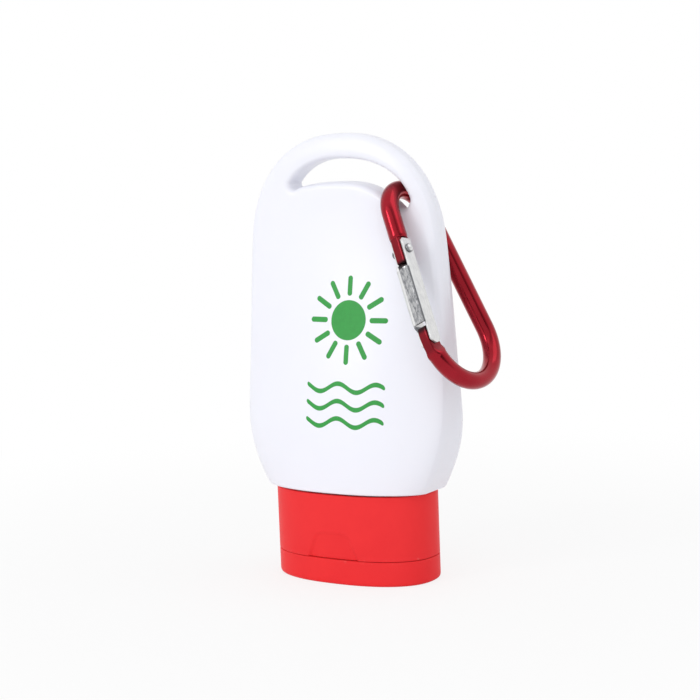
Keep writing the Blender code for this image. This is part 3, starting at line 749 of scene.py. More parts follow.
def turned(profile: Array, columns: int) -> tuple[Array, Array, Array]:
    """Turns (radius, place) rows round a line, by radius times cosine and sine.

    Args:
        profile: One row of radius and place along the line for each ring.
        columns: Points in each ring.

    Returns:
        Two distances across the line and the place along it, in the grid's shape.
    """
    turn = np.linspace(0.0, 2.0 * math.pi, columns, endpoint=False)[None]
    radius, along = profile[:, :1], profile[:, 1:]
    return tuple(np.broadcast_arrays(radius * np.cos(turn), radius * np.sin(turn), along))


def arc(centre: Array, radius: float, start: float, end: float, count: int) -> Array:
    """Points at even angles on a circle's arc, by radius times cosine and sine.

    Args:
        centre: The circle's middle.
        radius: Its radius.
        start: Angle of the first point.
        end: Angle of the last point.
        count: Number of points.

    Returns:
        Pairs of places.
    """
    turn = np.linspace(start, end, count)
    return centre + radius * np.column_stack([np.cos(turn), np.sin(turn)])


def ramp(value: Array, low: float, high: float) -> Array:
    """An even step from 0 at low to 1 at high, whichever of them is the larger."""
    return np.clip((value - low) / (high - low), 0.0, 1.0)


def arched(rise: Array, power: float) -> Array:
    """Falls from 1 to 0 along a quarter of a superellipse."""
    return (1.0 - np.clip(rise, 0.0, 1.0) ** power) ** (1.0 / power)


def smooth(value: Array, low: float, high: float) -> Array:
    """A smooth step from 0 at low to 1 at high."""
    t = ramp(value, low, high)
    return t * t * (3.0 - 2.0 * t)


def half_cosine(value: Array, low: float, high: float) -> Array:
    """Falls from 1 at low to 0 at high along half a cosine wave."""
    return 0.5 * (1.0 + np.cos(math.pi * ramp(value, low, high)))


def finish_piece(item: bpy.types.Object, material: bpy.types.Material, node: str,
                 body: Body | None = None) -> None:
    """Gives a piece its material and hides the solid that it stands for.

    Args:
        item: The piece.
        material: Its material.
        node: The solid that it stands for.
        body: The body that it rides on; a piece without one is left unattached.
    """
    if body is not None:
        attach(item, body.value)
    item.data.materials.clear()
    item.data.materials.append(material)
    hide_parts(node)
    log.info("%s: %d faces", item.name, len(item.data.polygons))


@dataclass
class Bottle:
    """The moulded bottle: a skin that runs through the handle hole and round the outside."""

    finish: WhitePlastic = WhitePlastic("white_bottle")
    top: float = 105.0 * MM
    shoulder_height: float = 80.0 * MM
    belly_height: float = 40.0 * MM
    base_height: float = 21.7 * MM
    base_half_width: float = 21.55 * MM
    belly_half_width: float = 27.145 * MM
    shoulder_half_width: float = 25.8 * MM
    base_corner_power: float = 1.95
    side_power: float = 2.0
    top_power: float = 2.3
    base_half_depth: float = 12.5 * MM
    loop_half_depth: float = 3.4 * MM
    loop_start: float = 93.0 * MM
    depth_power: float = 0.85
    band_belly: float = 4.7 * MM
    band_loop: float = 1.9 * MM
    band_belly_height: float = 28.0 * MM
    band_loop_height: float = 85.0 * MM
    band_power: float = 1.6
    crown_width: float = 5.0 * MM
    crown_power: float = 0.6
    front_low: float = 30.0 * MM
    front_high: float = 70.0 * MM
    swell_powers: tuple[float, float] = (2.33, 2.0)
    swell_falls: tuple[float, float] = (0.625, 0.9)
    least_half_width: float = 1.0 * MM
    side_edge_round: float = 1.1 * MM
    base_edge_round: float = 0.5 * MM
    edge_flow: float = 4.4 * MM
    hole_arc_height: float = 84.0 * MM
    hole_half_width: float = 19.85 * MM
    hole_left_share: float = 0.84
    hole_rise: float = 15.1 * MM
    hole_power: float = 2.25
    hole_join: float = 89.8 * MM
    hole_left_join: float = 93.6 * MM
    hole_corner: float = 2.3 * MM
    hole_left_corner: float = 1.2 * MM
    hole_floor: float = 93.8 * MM
    hole_floor_power: float = 2.6
    hole_flare: float = 1.9 * MM
    hole_round_power: float = 3.0
    hole_crisp_power: float = 3.2
    hole_round_from: float = 9.0 * MM
    hole_crisp_from: float = 3.0 * MM
    corner_start: float = math.radians(8.0)
    corner_end: float = math.radians(-135.0)
    seam_rise: float = 0.07 * MM
    seam_half_width: float = 0.22 * MM
    seam_start: float = 1.0 * MM
    neck_radius: float = 8.4 * MM
    neck_bore: float = 6.7 * MM
    neck_length: float = 12.6 * MM
    bead_radius: float = 9.1 * MM
    bead_drop: float = 5.2 * MM
    bead_height: float = 1.5 * MM
    neck_sink: float = 0.3 * MM
    neck_round: float = 0.25 * MM
    samples: int = 800
    hole_samples: int = 500
    steps: dict[str, int] = field(default_factory=lambda: {
        "base": 40, "side": 90, "top": 64, "flare": 10, "front": 42, "edge": 9, "band": 7})

    def half_width(self, z: Array) -> Array:
        """Half width at a height: a base corner, a long side, and a superelliptic top.

        Args:
            z: Heights.

        Returns:
            Half widths.
        """
        drop = ramp(z, self.belly_height, self.base_height) ** self.base_corner_power
        low = self.belly_half_width - (self.belly_half_width - self.base_half_width) * drop
        loss = self.belly_half_width - self.shoulder_half_width
        length, rise = self.shoulder_height - self.belly_height, self.top - self.shoulder_height
        side = loss * ramp(z, self.belly_height, self.shoulder_height) ** self.side_power
        above = np.clip(z - self.shoulder_height, 0.0, rise)
        return (low - side - self.side_power * loss / length * above) * arched(above / rise, self.top_power)

    def band(self, z: Array) -> Array:
        """Half the depth of the flat band round the edge: a half cosine from belly to loop."""
        fall = half_cosine(z, self.band_belly_height, self.band_loop_height) ** self.band_power
        return self.band_loop + (self.band_belly - self.band_loop) * fall

    def front(self, x: Array, z: Array, edge: Array) -> Array:
        """How far the front stands out: the band, a crown beside it, and the belly's swell.

        Args:
            x: Places across.
            z: Heights.
            edge: Distances from the outline.

        Returns:
            Half depths.
        """
        band = self.band(z)
        middle = self.loop_half_depth + (self.base_half_depth - self.loop_half_depth) * half_cosine(
            z, self.base_height, self.loop_start) ** self.depth_power
        crown = np.clip(self.loop_half_depth - band, 0.0, None)
        share = (1.0 - (1.0 - ramp(edge, 0.0, self.crown_width)) ** 2) ** self.crown_power
        mix = smooth(z, self.front_low, self.front_high)
        power, fall = (low + (high - low) * mix for low, high in (self.swell_powers, self.swell_falls))
        across = np.clip(np.abs(x) / np.maximum(self.half_width(z), self.least_half_width), 0.0, 1.0)
        swell = np.clip(middle - band - crown, 0.0, None) * (1.0 - across ** power) ** fall
        return band + crown * share + swell

    def outer_outline(self) -> Array:
        """The outline in front view, from the base's middle up the right side and back round."""
        z = np.linspace(self.base_height, self.loop_start, self.samples)
        base = even_points(np.array([[0.0, self.base_height], [self.base_half_width, self.base_height]]),
                           self.steps["base"])
        side = even_points(np.column_stack([self.half_width(z), z]), self.steps["side"])
        quarter = np.linspace(0.0, 0.5 * math.pi, self.samples)
        z = self.loop_start + (self.top - self.loop_start) * np.sin(quarter)
        arch = even_points(np.column_stack([self.half_width(z), z]), self.steps["top"])
        right = np.vstack([base, side, arch, [(0.0, self.top)]])
        return self._joined(right, right)

    def hole_half(self, half_width: float, join: float, corner_radius: float) -> Array:
        """Half of the hole's narrowest outline: a power-curve floor, a round corner and an arch.

        Args:
            half_width: Half width of the arch where it is widest.
            join: Height at which the corner meets the arch.
            corner_radius: Radius of the corner.

        Returns:
            Pairs of x and z from the floor's middle to the arch's top.
        """
        top, count = self.hole_arc_height + self.hole_rise, self.hole_samples
        z = join + (top - join) * np.sin(np.linspace(0.0, 0.5 * math.pi, count))
        rise = (z - self.hole_arc_height) / self.hole_rise
        arch = np.column_stack([half_width * arched(rise, self.hole_power), z])
        start = self.corner_start
        centre = arch[0] - corner_radius * np.array([math.cos(start), math.sin(start)])
        corner = arc(centre, corner_radius, self.corner_end, start, count)
        end = corner[0]
        x = np.linspace(0.0, end[0], count)
        fall = (self.hole_floor - end[1]) * (x / end[0]) ** self.hole_floor_power
        floor = np.column_stack([x, self.hole_floor - fall])
        return np.vstack([even_points(floor, self.steps["base"]), even_points(corner, self.steps["side"]),
                          even_points(arch, self.steps["top"]), [(0.0, top)]])

    def hole_outline(self) -> Array:
        """The hole's narrowest outline, wide and low on the hook's side and narrower on the other."""
        left = self.hole_left_share * self.hole_half_width
        return self._joined(self.hole_half(self.hole_half_width, self.hole_join, self.hole_corner),
                            self.hole_half(left, self.hole_left_join, self.hole_left_corner))

    @staticmethod
    def _joined(right: Array, left: Array) -> Array:
        """Closes a right half with the mirror image of a left half."""
        return np.vstack([right, left[:0:-1] * np.array([-1.0, 1.0])])

    def skin(self) -> Array:
        """The skin's grid: each column runs from the hole over the front, round the edge and back.

        A column's front half joins a hole point to its outline point. It starts with a quarter of a
        superellipse out of the hole, follows the front's depth, turns with a quarter circle onto the band,
        and the seam stands up by a bell curve in the middle of band and hole.

        Returns:
            Grid of places, one row for each ring.
        """
        hole, outer = self.hole_outline(), self.outer_outline()
        span = outer - hole
        length = np.linalg.norm(span, axis=1)
        along = span / length[:, None]
        near = smooth(outer[:, 1], self.base_height, self.base_height + self.edge_flow)
        edge_round = self.base_edge_round + (self.side_edge_round - self.base_edge_round) * near
        rim = self.front(outer[:, 0], outer[:, 1], np.zeros(len(outer))) - edge_round
        flare = np.linspace(0.0, 0.5 * math.pi, self.steps["flare"] + 1)[:, None]
        middle = np.linspace(0.0, 1.0, self.steps["front"] + 1)[1:-1, None]
        edge = np.linspace(0.0, 0.5 * math.pi, self.steps["edge"] + 1)[:, None]
        band = np.linspace(1.0, 0.0, self.steps["band"] + 1)[1:, None]
        roundness = smooth(hole[:, 0], self.hole_crisp_from, self.hole_round_from)
        power = 2.0 / (self.hole_crisp_power + (self.hole_round_power - self.hole_crisp_power) * roundness)
        start = self.hole_flare * (1.0 - np.abs(np.cos(flare)) ** power)
        across = self.hole_flare + (length - self.hole_flare - edge_round) * middle
        corner = length - edge_round * (1.0 - np.sin(edge))
        flat = np.ones_like(band) * length
        distance = np.vstack([start, across, corner, flat])
        places = hole + along * distance[..., None]
        full = self.front(places[..., 0], places[..., 1], length - distance)
        ones = np.ones((len(distance) - len(flare), len(length)))
        depth_share = np.vstack([np.sin(flare) ** power, ones])
        rim_share = np.vstack([0.0 * flare, 0.0 * middle, 1.0 - np.cos(edge), np.ones_like(band)])
        band_share = np.vstack([np.ones_like(flare), np.ones_like(middle), np.ones_like(edge), band])
        depth = (rim_share * rim + (1.0 - rim_share) * depth_share * full) * band_share
        seam = self.seam_rise * (1.0 - np.exp(-(depth / self.seam_half_width) ** 2))
        raised = smooth(outer[:, 1], self.base_height, self.base_height + self.seam_start)
        places = places - along * (seam * ((rim_share >= 1.0) * raised))[..., None]
        front = np.stack([places[..., 0], -depth, places[..., 1]], axis=-1)
        back = front[-2:0:-1] * np.array([1.0, -1.0, 1.0])
        return np.concatenate([front, back])

    def neck(self) -> Array:
        """The neck's grid: a turned wall with its snap bead, open down the middle."""
        mouth = self.base_height - self.neck_length
        bead = self.base_height - self.bead_drop
        inside = self.base_height - self.neck_sink
        bore, wall, rim = self.neck_bore, self.neck_radius, self.bead_radius
        corners = [(bore, mouth), (wall, mouth), (wall, bead - self.bead_height),
                   (rim, bead - 0.5 * self.bead_height), (rim, bead), (wall, bead), (wall, inside),
                   (bore, inside)]
        profile = np.array([(r, r, 2.0, z) for r, z in corners])
        rounded = softened(profile, np.full(len(profile), self.neck_round), closed=True)
        return oval_grid(rounded, ROUND_COLUMNS)

    def build(self) -> None:
        """Makes the bottle's pieces."""
        material = self.finish.material()
        for name, grid in (("bottle_skin", self.skin()), ("bottle_neck", self.neck())):
            item = closed_surface(name, grid, close_rows=True)
            finish_piece(item, material, "bottle_body", Body.BOTTLE)


@dataclass
class Cap:
    """The red cap: base with spout, flip lid and the straps between them.

    base_rounds and lid_rounds say in millimetres how far each corner of the two profiles is rounded.
    """

    finish: RedPlastic = RedPlastic("red_cap")
    half_width: float = 20.7 * MM
    half_depth: float = 12.0 * MM
    power: float = 2.33
    lid_height: float = 5.9 * MM
    seam: float = 0.12 * MM
    fit_gap: float = 0.35 * MM
    base_top: float = 21.28 * MM
    wall: float = 1.5 * MM
    lid_wall: float = 1.6 * MM
    lid_floor: float = 1.3 * MM
    face_middle: float = 0.4 * MM
    deck: float = 1.5 * MM
    spout_radius: float = 2.6 * MM
    spout_length: float = 2.8 * MM
    orifice: float = 1.2 * MM
    pin_engagement: float = 1.8 * MM
    collar_wall: float = 0.8 * MM
    collar_overlap: float = 0.5 * MM
    skirt_inner: float = 8.75 * MM
    skirt_wall: float = 1.35 * MM
    skirt_height: float = 12.0 * MM
    seal_outer: float = 6.35 * MM
    seal_wall: float = 1.0 * MM
    seal_height: float = 4.0 * MM
    notch_half_width: float = 6.8 * MM
    notch_top_half_width: float = 4.2 * MM
    notch_height: float = 6.1 * MM
    notch_depth: float = 0.6 * MM
    notch_corner: float = 1.6 * MM
    notch_top_share: float = 0.4
    notch_edge_out: float = 0.3 * MM
    notch_edge_in: float = 0.35 * MM
    skin_reach: tuple[float, float] = (1.0 * MM, 0.6 * MM)
    front_shares: tuple[float, float] = (0.72, 0.8)
    strap_thickness: float = 0.4 * MM
    strap_reach: float = 2.5 * MM
    side_strap: float = 3.0 * MM
    middle_strap: float = 3.6 * MM
    strap_spacing: float = 4.6 * MM
    recess_depth: float = 0.8 * MM
    recess_soft: float = 0.12 * MM
    recess_overrun: float = 1.0 * MM
    strap_waist_share: float = 0.45
    strap_waist_spread: float = 0.28
    strap_power: float = 8.0
    strap_end_power: float = 12.0
    strap_end_share: float = 0.9
    strap_bend: float = 0.9 * MM
    strap_rings: int = 33
    strap_columns: int = 48
    tube_round: float = 0.2 * MM
    base_rounds: tuple[float, ...] = (0.15, 0.25, 0.45, 0.5, 0.22, 0.25, 0.3, 0.8)
    lid_rounds: tuple[float, ...] = (0.0, 1.1, 0.22, 0.3, 0.6, 0.3, 0.2, 0.2, 0.3, 0.3, 0.2, 0.0)
    base_spacing: float = 0.28 * MM
    lid_spacing: float = 0.3 * MM
    columns: int = 320

    def oval(self, inset: float, z: float) -> tuple[float, float, float, float]:
        """One ring of the outside, drawn inwards by an inset."""
        return (self.half_width - inset, self.half_depth - inset, self.power, z)

    @staticmethod
    def circle(radius: float, z: float) -> tuple[float, float, float, float]:
        """One round ring."""
        return (radius, radius, 2.0, z)

    @property
    def base_low(self) -> float:
        """Height of the base's lower edge."""
        return self.lid_height + self.seam

    @property
    def strap_y(self) -> float:
        """Depth of the straps' middle."""
        return self.half_depth - self.recess_depth + self.fit_gap + 0.5 * self.strap_thickness

    def recess(self, grid: Array, low: float, high: float) -> Array:
        """Presses the straps' recess into a rear wall: every point in it moves in to one flat depth.

        Args:
            grid: Places of the piece.
            low: Lowest height of the recess.
            high: Highest height of the recess.

        Returns:
            The pressed places.
        """
        half = self.strap_spacing + 0.5 * self.side_strap + self.fit_gap
        soft = self.recess_soft
        x, y, z = np.moveaxis(grid, -1, 0)
        share = smooth(np.abs(x), half + soft, half) * smooth(z, low - soft, low)
        share = share * smooth(z, high + soft, high)
        floor = self.half_depth - self.recess_depth
        return np.stack([x, y - np.clip(y - floor, 0.0, None) * share, z], axis=-1)

    def notch(self, grid: Array) -> Array:
        """Presses the thumb notch into the front wall: a trapezoid that is deepest at its lower edge.

        Args:
            grid: Places of the base.

        Returns:
            The pressed places.
        """
        x, y, z = np.moveaxis(grid, -1, 0)
        rise = ramp(z, self.base_low, self.base_low + self.notch_height)
        half = self.notch_half_width + (self.notch_top_half_width - self.notch_half_width) * rise
        corner = self.notch_corner
        beyond_side = np.abs(x) - half + corner
        beyond_top = z - self.base_low - self.notch_height + corner
        past = np.hypot(np.clip(beyond_side, 0.0, None), np.clip(beyond_top, 0.0, None)) - corner
        depth = self.notch_depth * (1.0 - (1.0 - self.notch_top_share) * rise)
        depth = depth * smooth(past, self.notch_edge_out, -self.notch_edge_in)
        outside = smooth(-y / self.half_depth, *self.front_shares)
        skin = self.half_depth * arched(np.abs(x / self.half_width), self.power)
        return np.stack([x, y + depth * outside * smooth(skin + y, *self.skin_reach), z], axis=-1)

    def base_grid(self) -> Array:
        """The base's grid: a closed profile from the orifice over spout, deck, skirt and back."""
        low, tip = self.base_low, self.base_low - self.spout_length
        deck_top = low + self.deck
        corners = np.array([
            self.circle(self.orifice, deck_top), self.circle(self.orifice, tip),
            self.circle(self.spout_radius, tip), self.circle(self.spout_radius, low),
            self.oval(0.0, low), self.oval(0.0, self.base_top), self.oval(self.wall, self.base_top),
            self.oval(self.wall, deck_top)])
        rounded = softened(corners, np.array(self.base_rounds) * MM, closed=True)
        grid = oval_grid(divided(rounded, self.base_spacing, closed=True), self.columns)
        return self.recess(self.notch(grid), low - self.recess_overrun, low + self.strap_reach)

    def lid_grid(self) -> Array:
        """The lid's grid: from the middle of its flat face round the wall to the middle of its pin."""
        top = self.lid_height
        spout_end = self.base_low - self.spout_length
        collar = self.spout_radius + self.fit_gap
        pin = self.orifice - self.fit_gap
        pin_top = spout_end + self.pin_engagement
        rows = [self.circle(self.face_middle, 0.0), self.oval(0.0, 0.0), self.oval(0.0, top),
                self.oval(self.lid_wall, top), self.oval(self.lid_wall, self.lid_floor),
                self.circle(collar + self.collar_wall, self.lid_floor),
                self.circle(collar + self.collar_wall, spout_end + self.collar_overlap),
                self.circle(collar, spout_end + self.collar_overlap), self.circle(collar, self.lid_floor),
                self.circle(pin, self.lid_floor), self.circle(pin, pin_top),
                self.circle(0.5 * pin, pin_top + 0.5 * pin)]
        rounded = softened(np.array(rows), np.array(self.lid_rounds) * MM, steps=7)
        grid = oval_grid(divided(rounded, self.lid_spacing), self.columns)
        return self.recess(grid, top - self.strap_reach, top + self.recess_overrun)

    def tube_grid(self, inner: float, outer: float, low: float, high: float) -> Array:
        """A round tube's grid with softened edges."""
        corners = np.array([self.circle(inner, low), self.circle(outer, low), self.circle(outer, high),
                            self.circle(inner, high)])
        return oval_grid(softened(corners, np.full(4, self.tube_round), closed=True), ROUND_COLUMNS)

    def strap_grid(self, centre: float, width: float) -> Array:
        """A strap's grid: a rounded slab, thinned to its bending line by a bell curve.

        Args:
            centre: Place of the strap across the cap.
            width: Its width.

        Returns:
            Grid of places, one row for each level.
        """
        middle = self.lid_height + 0.5 * self.seam
        reach = self.strap_reach - self.fit_gap - 0.5 * self.seam
        level = np.linspace(-1.0, 1.0, self.strap_rings)
        ends = np.maximum(np.sqrt(1.0 - np.abs(level) ** self.strap_end_power), self.strap_end_share)
        waist = 1.0 - self.strap_waist_share * np.exp(-(level / self.strap_waist_spread) ** 2)
        profile = np.column_stack([0.5 * width * ends, 0.5 * self.strap_thickness * waist,
                                   np.full(self.strap_rings, self.strap_power), middle + reach * level])
        return oval_grid(profile, self.strap_columns) + np.array([centre, self.strap_y, 0.0])

    def build(self) -> None:
        """Makes the cap's pieces."""
        material = self.finish.material()
        deck_top = self.base_low + self.deck
        foot, skirt, seal = deck_top - 0.5 * self.deck, self.skirt_inner, self.seal_outer
        skirt_top, seal_top = deck_top + self.skirt_height, deck_top + self.seal_height
        for name, grid in (
                ("cap_base_shell", self.base_grid()),
                ("cap_snap_skirt", self.tube_grid(skirt, skirt + self.skirt_wall, foot, skirt_top)),
                ("cap_seal_ring", self.tube_grid(seal - self.seal_wall, seal, foot, seal_top))):
            item = closed_surface(name, grid, close_rows=True)
            finish_piece(item, material, "cap_base", Body.BOTTLE)
        lid = closed_surface("cap_lid_shell", self.lid_grid())
        finish_piece(lid, material, "cap_lid", Body.LID)
        for side, centre, width in (
                ("left", -self.strap_spacing, self.side_strap), ("middle", 0.0, self.middle_strap),
                ("right", self.strap_spacing, self.side_strap)):
            strap = closed_surface(f"hinge_band_{side}", self.strap_grid(centre, width))
            self.strap_y
            self.strap_y
            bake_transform(strap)
            finish_piece(strap, material, f"hinge_strap_{side}")


@dataclass
class HookFrame:
    """The hook's own frame: p across the ring from gate to spine, n out of its plane, w up its length."""

    origin: Array
    axes: Array

    @classmethod
    def from_joints(cls, joints: list[dict[str, Any]]) -> "HookFrame":
        """Reads the frame from the joints it hangs and pivots on."""
        by_name = {joint["name"]: joint for joint in joints}
        swing, gate = by_name["hook_swing"], by_name["gate_pivot"]
        across = -np.array(swing["axis"], float)
        across /= np.linalg.norm(across)
        normal = -np.array(gate["axis"], float)
        up = np.cross(across, normal)
        up /= np.linalg.norm(up)
        return cls(np.array(swing["pos_m"], float), np.stack([across, np.cross(up, across), up]))

    def world(self, points: Array) -> Array:
        """Carries places in the hook's frame into the whole object's frame."""
        return self.origin + points @ self.axes


@dataclass
class SnapHook:
    """The pear-shaped rod, its folded gate, the rivet, the spring and its plunger.

    plunger_rounds says in millimetres how far each corner of the plunger's profile is rounded.
    """

    place: HookFrame
    rod_finish: AnodisedMetal = AnodisedMetal("red_rod")
    rod_radius: float = 2.12 * MM
    bend_loss: float = 0.15 * MM
    bend_share: float = 0.77
    bend_spread_share: float = 0.12
    small_radius: float = 7.0 * MM
    large_radius: float = 11.0 * MM
    centre_distance: float = 29.9 * MM
    heel_shoulder: float = 6.5 * MM
    heel_reach: float = 3.3 * MM
    shoulder_start: float = 0.12 * MM
    shoulder_end: float = 0.1 * MM
    shoulder_round: float = 0.35 * MM
    shoulder_loss_share: float = 0.1
    nose_start: float = 28.0 * MM
    nose_shoulder: float = 33.4 * MM
    nose_flow: float = 2.0 * MM
    nose_sink: float = 0.3 * MM
    tip_round: float = 1.0 * MM
    tip_power: float = 2.5
    least_end_share: float = 0.12
    least_tip_share: float = 0.1
    tongue_half_width: float = 1.3 * MM
    tongue_half_depth: float = 1.85 * MM
    tongue_power: float = 6.5
    end_zone: float = 2.0 * MM
    shoulder_zone: float = 0.8 * MM
    nose_zone: float = 2.4 * MM
    line_counts: tuple[int, ...] = (400, 500, 900, 200)
    line_samples: int = 1500
    ring_counts: tuple[int, ...] = (26, 24, 34, 320, 44, 40)
    rod_columns: int = 64
    gate_start: float = 7.0 * MM
    gate_end: float = 32.6 * MM
    gate_width: float = 3.9 * MM
    web_start: float = 14.0 * MM
    web_end: float = 27.5 * MM
    # How far past the nose's start the painted shadow in the gate's window reaches.
    window_shade_reach: float = 0.6 * MM
    sheet: float = 0.5 * MM
    sheet_edge: float = 0.09 * MM
    fold: float = 0.75 * MM
    outer_depth: float = 2.2 * MM
    inner_depth: float = 1.5 * MM
    far_cheek_depth: float = 0.95 * MM
    heel_flow: tuple[float, float] = (-0.3 * MM, 0.2 * MM)
    window_flow: tuple[float, float] = (-0.4 * MM, 0.1 * MM)
    head_round: float = 0.5 * MM
    foot_round: float = 1.2 * MM
    foot_least_share: float = 0.3
    row_counts: tuple[int, ...] = (9, 34, 50, 14, 13)
    cheek_points: int = 12
    fold_points: int = 6
    web_points: int = 14
    rivet_place: float = 9.5 * MM
    rivet_radius: float = 0.6 * MM
    head_radius: float = 1.05 * MM
    head_height: float = 0.5 * MM
    head_gap: float = 0.105 * MM
    head_sink: float = 0.05 * MM
    dome_start: float = 0.12
    dome_rings: int = 12
    rivet_columns: int = 56
    fit_gap: float = 0.35 * MM
    wire_radius: float = 0.17 * MM
    wire_relief: float = 0.008 * MM
    coil_radius: float = 0.95 * MM
    spring_length: float = 5.6 * MM
    curls: int = 7
    curl_points: int = 40
    wire_columns: int = 14
    spring_offset: float = -0.25 * MM
    plunger_radius: float = 1.05 * MM
    plunger_height: float = 0.6 * MM
    plunger_rounds: tuple[float, ...] = (0.0, 0.3, 0.1, 0.05, 0.2, 0.0)
    stem_radius: float = 0.42 * MM
    stem_length: float = 4.0 * MM
    plunger_columns: int = 40

    @property
    def lean(self) -> float:
        """Angle of the ring's straight sides from its long axis."""
        return math.asin((self.large_radius - self.small_radius) / self.centre_distance)

    @property
    def heel_end(self) -> float:
        """Where the rod's heel ends on the gate side."""
        return self.rivet_place + self.heel_reach

    @property
    def nose_length(self) -> float:
        """Length of the rod's flat nose."""
        return self.nose_shoulder - self.nose_start

    def gate_point(self, along: Array, inwards: Array) -> Array:
        """Places beside the gate side, in the ring's plane.

        Args:
            along: Distance down from where the small arc ends.
            inwards: Distance towards the ring's inside.

        Returns:
            Pairs of p and w.
        """
        c, s = math.cos(self.lean), math.sin(self.lean)
        start = self.small_radius * np.array([-c, s - 1.0])
        return start + along[..., None] * np.array([-s, -c]) + inwards[..., None] * np.array([c, -s])

    def beside_gate(self, along: Array, across: Array, inwards: Array) -> tuple[Array, Array]:
        """Places beside the gate side, in the whole object's frame.

        Args:
            along: Distance down from where the small arc ends.
            across: Distance out of the ring's plane.
            inwards: Distance towards the ring's inside.

        Returns:
            The places, and the three distances as flow coordinates.
        """
        along, across, inwards = np.broadcast_arrays(along, across, inwards)
        pw = self.gate_point(along, inwards)
        places = self.place.world(np.stack([pw[..., 0], across, pw[..., 1]], axis=-1))
        return places, np.stack([along, across, inwards], axis=-1)

    def rod_line(self) -> Array:
        """The rod's centre line from heel end to nose end.

        It runs up the gate side, over the small arc, down the straight spine, round the large arc and
        straight up the gate side again into the nose.

        Returns:
            Pairs of p and w.
        """
        lean = self.lean
        gate_length = math.sqrt(self.centre_distance ** 2 - (self.large_radius - self.small_radius) ** 2)
        heel_count, small_count, large_count, nose_count = self.line_counts
        heel = np.linspace(self.heel_end, 0.0, heel_count, endpoint=False)
        heel = self.gate_point(heel, np.zeros(heel_count))
        low = -self.small_radius - self.centre_distance
        small = arc(np.array([0.0, -self.small_radius]), self.small_radius, math.pi - lean, lean, small_count)
        large = arc(np.array([0.0, low]), self.large_radius, lean, -math.pi - lean, large_count)
        nose = self.gate_point(np.linspace(gate_length, self.nose_start, nose_count), np.zeros(nose_count))
        return np.vstack([heel, small, large, nose[1:]])

    def rod_rings(self, shoulder: float, total: float) -> Array:
        """Distances of the rod's rings along it, closer together at heel, shoulder and nose.

        Args:
            shoulder: Where the heel ends.
            total: The rod's length.

        Returns:
            The distances.
        """
        nose = total - self.nose_length
        marks = [0.0, self.end_zone, shoulder - self.nose_sink, shoulder + self.shoulder_zone,
                 nose - self.nose_zone, nose + self.nose_sink, total]
        return np.concatenate([np.linspace(start, end, count, endpoint=end >= total)
                               for start, end, count in zip(marks, marks[1:], self.ring_counts)])

    def rod_section(self, s: Array, shoulder: float, total: float) -> tuple[Array, Array, Array]:
        """The rod's section: a circle that becomes a flat superellipse at heel and nose.

        The shoulder is eased by a bell curve, the large bend is a little thinner by another, and the ends
        close by a circle at the heel and a power curve at the nose.

        Args:
            s: Distances along the rod.
            shoulder: Where the heel ends.
            total: The rod's length.

        Returns:
            Half width in the ring's plane, half width out of it, and power.
        """
        flat = 1.0 - smooth(s, shoulder - self.shoulder_start, shoulder + self.shoulder_end) * smooth(
            total - s, self.nose_length - self.nose_sink, self.nose_length + self.nose_flow)
        eased = self.shoulder_loss_share * np.exp(-((s - shoulder) / self.shoulder_round) ** 2)
        radius = self.rod_radius * np.where(flat < 0.5, 1.0 - eased, 1.0)
        thinned = self.bend_loss * np.exp(-((s / total - self.bend_share) / self.bend_spread_share) ** 2)
        in_plane = (radius - thinned) * (1.0 - flat) + self.tongue_half_depth * flat
        out_plane = radius * (1.0 - flat) + self.tongue_half_width * flat
        cap = self.heel_reach - np.sqrt(self.heel_reach ** 2 - self.tongue_half_depth ** 2)
        end = np.sqrt(1.0 - ramp(s, cap, 0.0) ** 2)
        tip = np.sqrt(1.0 - ramp(total - s, self.tip_round, 0.0) ** self.tip_power)
        in_plane = in_plane * np.maximum(end, self.least_end_share) * np.maximum(tip, self.least_tip_share)
        return in_plane, out_plane, 2.0 + (self.tongue_power - 2.0) * flat

    def rod_grid(self) -> tuple[Array, Array]:
        """The rod's grid: superelliptic rings square to its centre line.

        Returns:
            The places, and the flow coordinates for the material.
        """
        fine = even_points(self.rod_line(), self.line_samples, last=True)
        reach = run_length(fine)
        total, shoulder = reach[-1], self.heel_end - self.heel_shoulder
        s = self.rod_rings(shoulder, total)
        centre = np.column_stack([np.interp(s, reach, fine[:, k]) for k in (0, 1)])
        tangent = np.column_stack([np.interp(s, reach, np.gradient(fine[:, k], reach)) for k in (0, 1)])
        tangent /= np.linalg.norm(tangent, axis=1)[:, None]
        in_plane, out_plane, power = (size[:, None] for size in self.rod_section(s, shoulder, total))
        turn = np.linspace(0.0, 2.0 * math.pi, self.rod_columns, endpoint=False)[None]
        across = in_plane * squared_wave(np.cos(turn), power)
        out = out_plane * squared_wave(np.sin(turn), power)
        p = centre[:, :1] + tangent[:, 1:] * across
        w = centre[:, 1:] - tangent[:, :1] * across
        flow = np.stack([np.broadcast_to(s[:, None], across.shape), across, out], axis=-1)
        return self.place.world(np.stack([p, out, w], axis=-1)), flow

    def gate_rows(self) -> Array:
        """Distances of the gate's rows along it, closer together at its rounded ends."""
        head, foot = self.gate_start + self.head_round, self.gate_end - self.foot_round
        counts = self.row_counts
        quarters = [np.linspace(0.0, 0.5 * math.pi, count) for count in (counts[0], counts[-1])]
        marks = [head, self.web_start, self.web_end, foot]
        rows = [np.linspace(*span) for span in zip(marks, marks[1:], counts[1:-1])]
        rows += [self.gate_start + self.head_round * (1.0 - np.cos(quarters[0])),
                 self.gate_end - self.foot_round * (1.0 - np.sin(quarters[1]))]
        return np.unique(np.concatenate(rows).round(8))

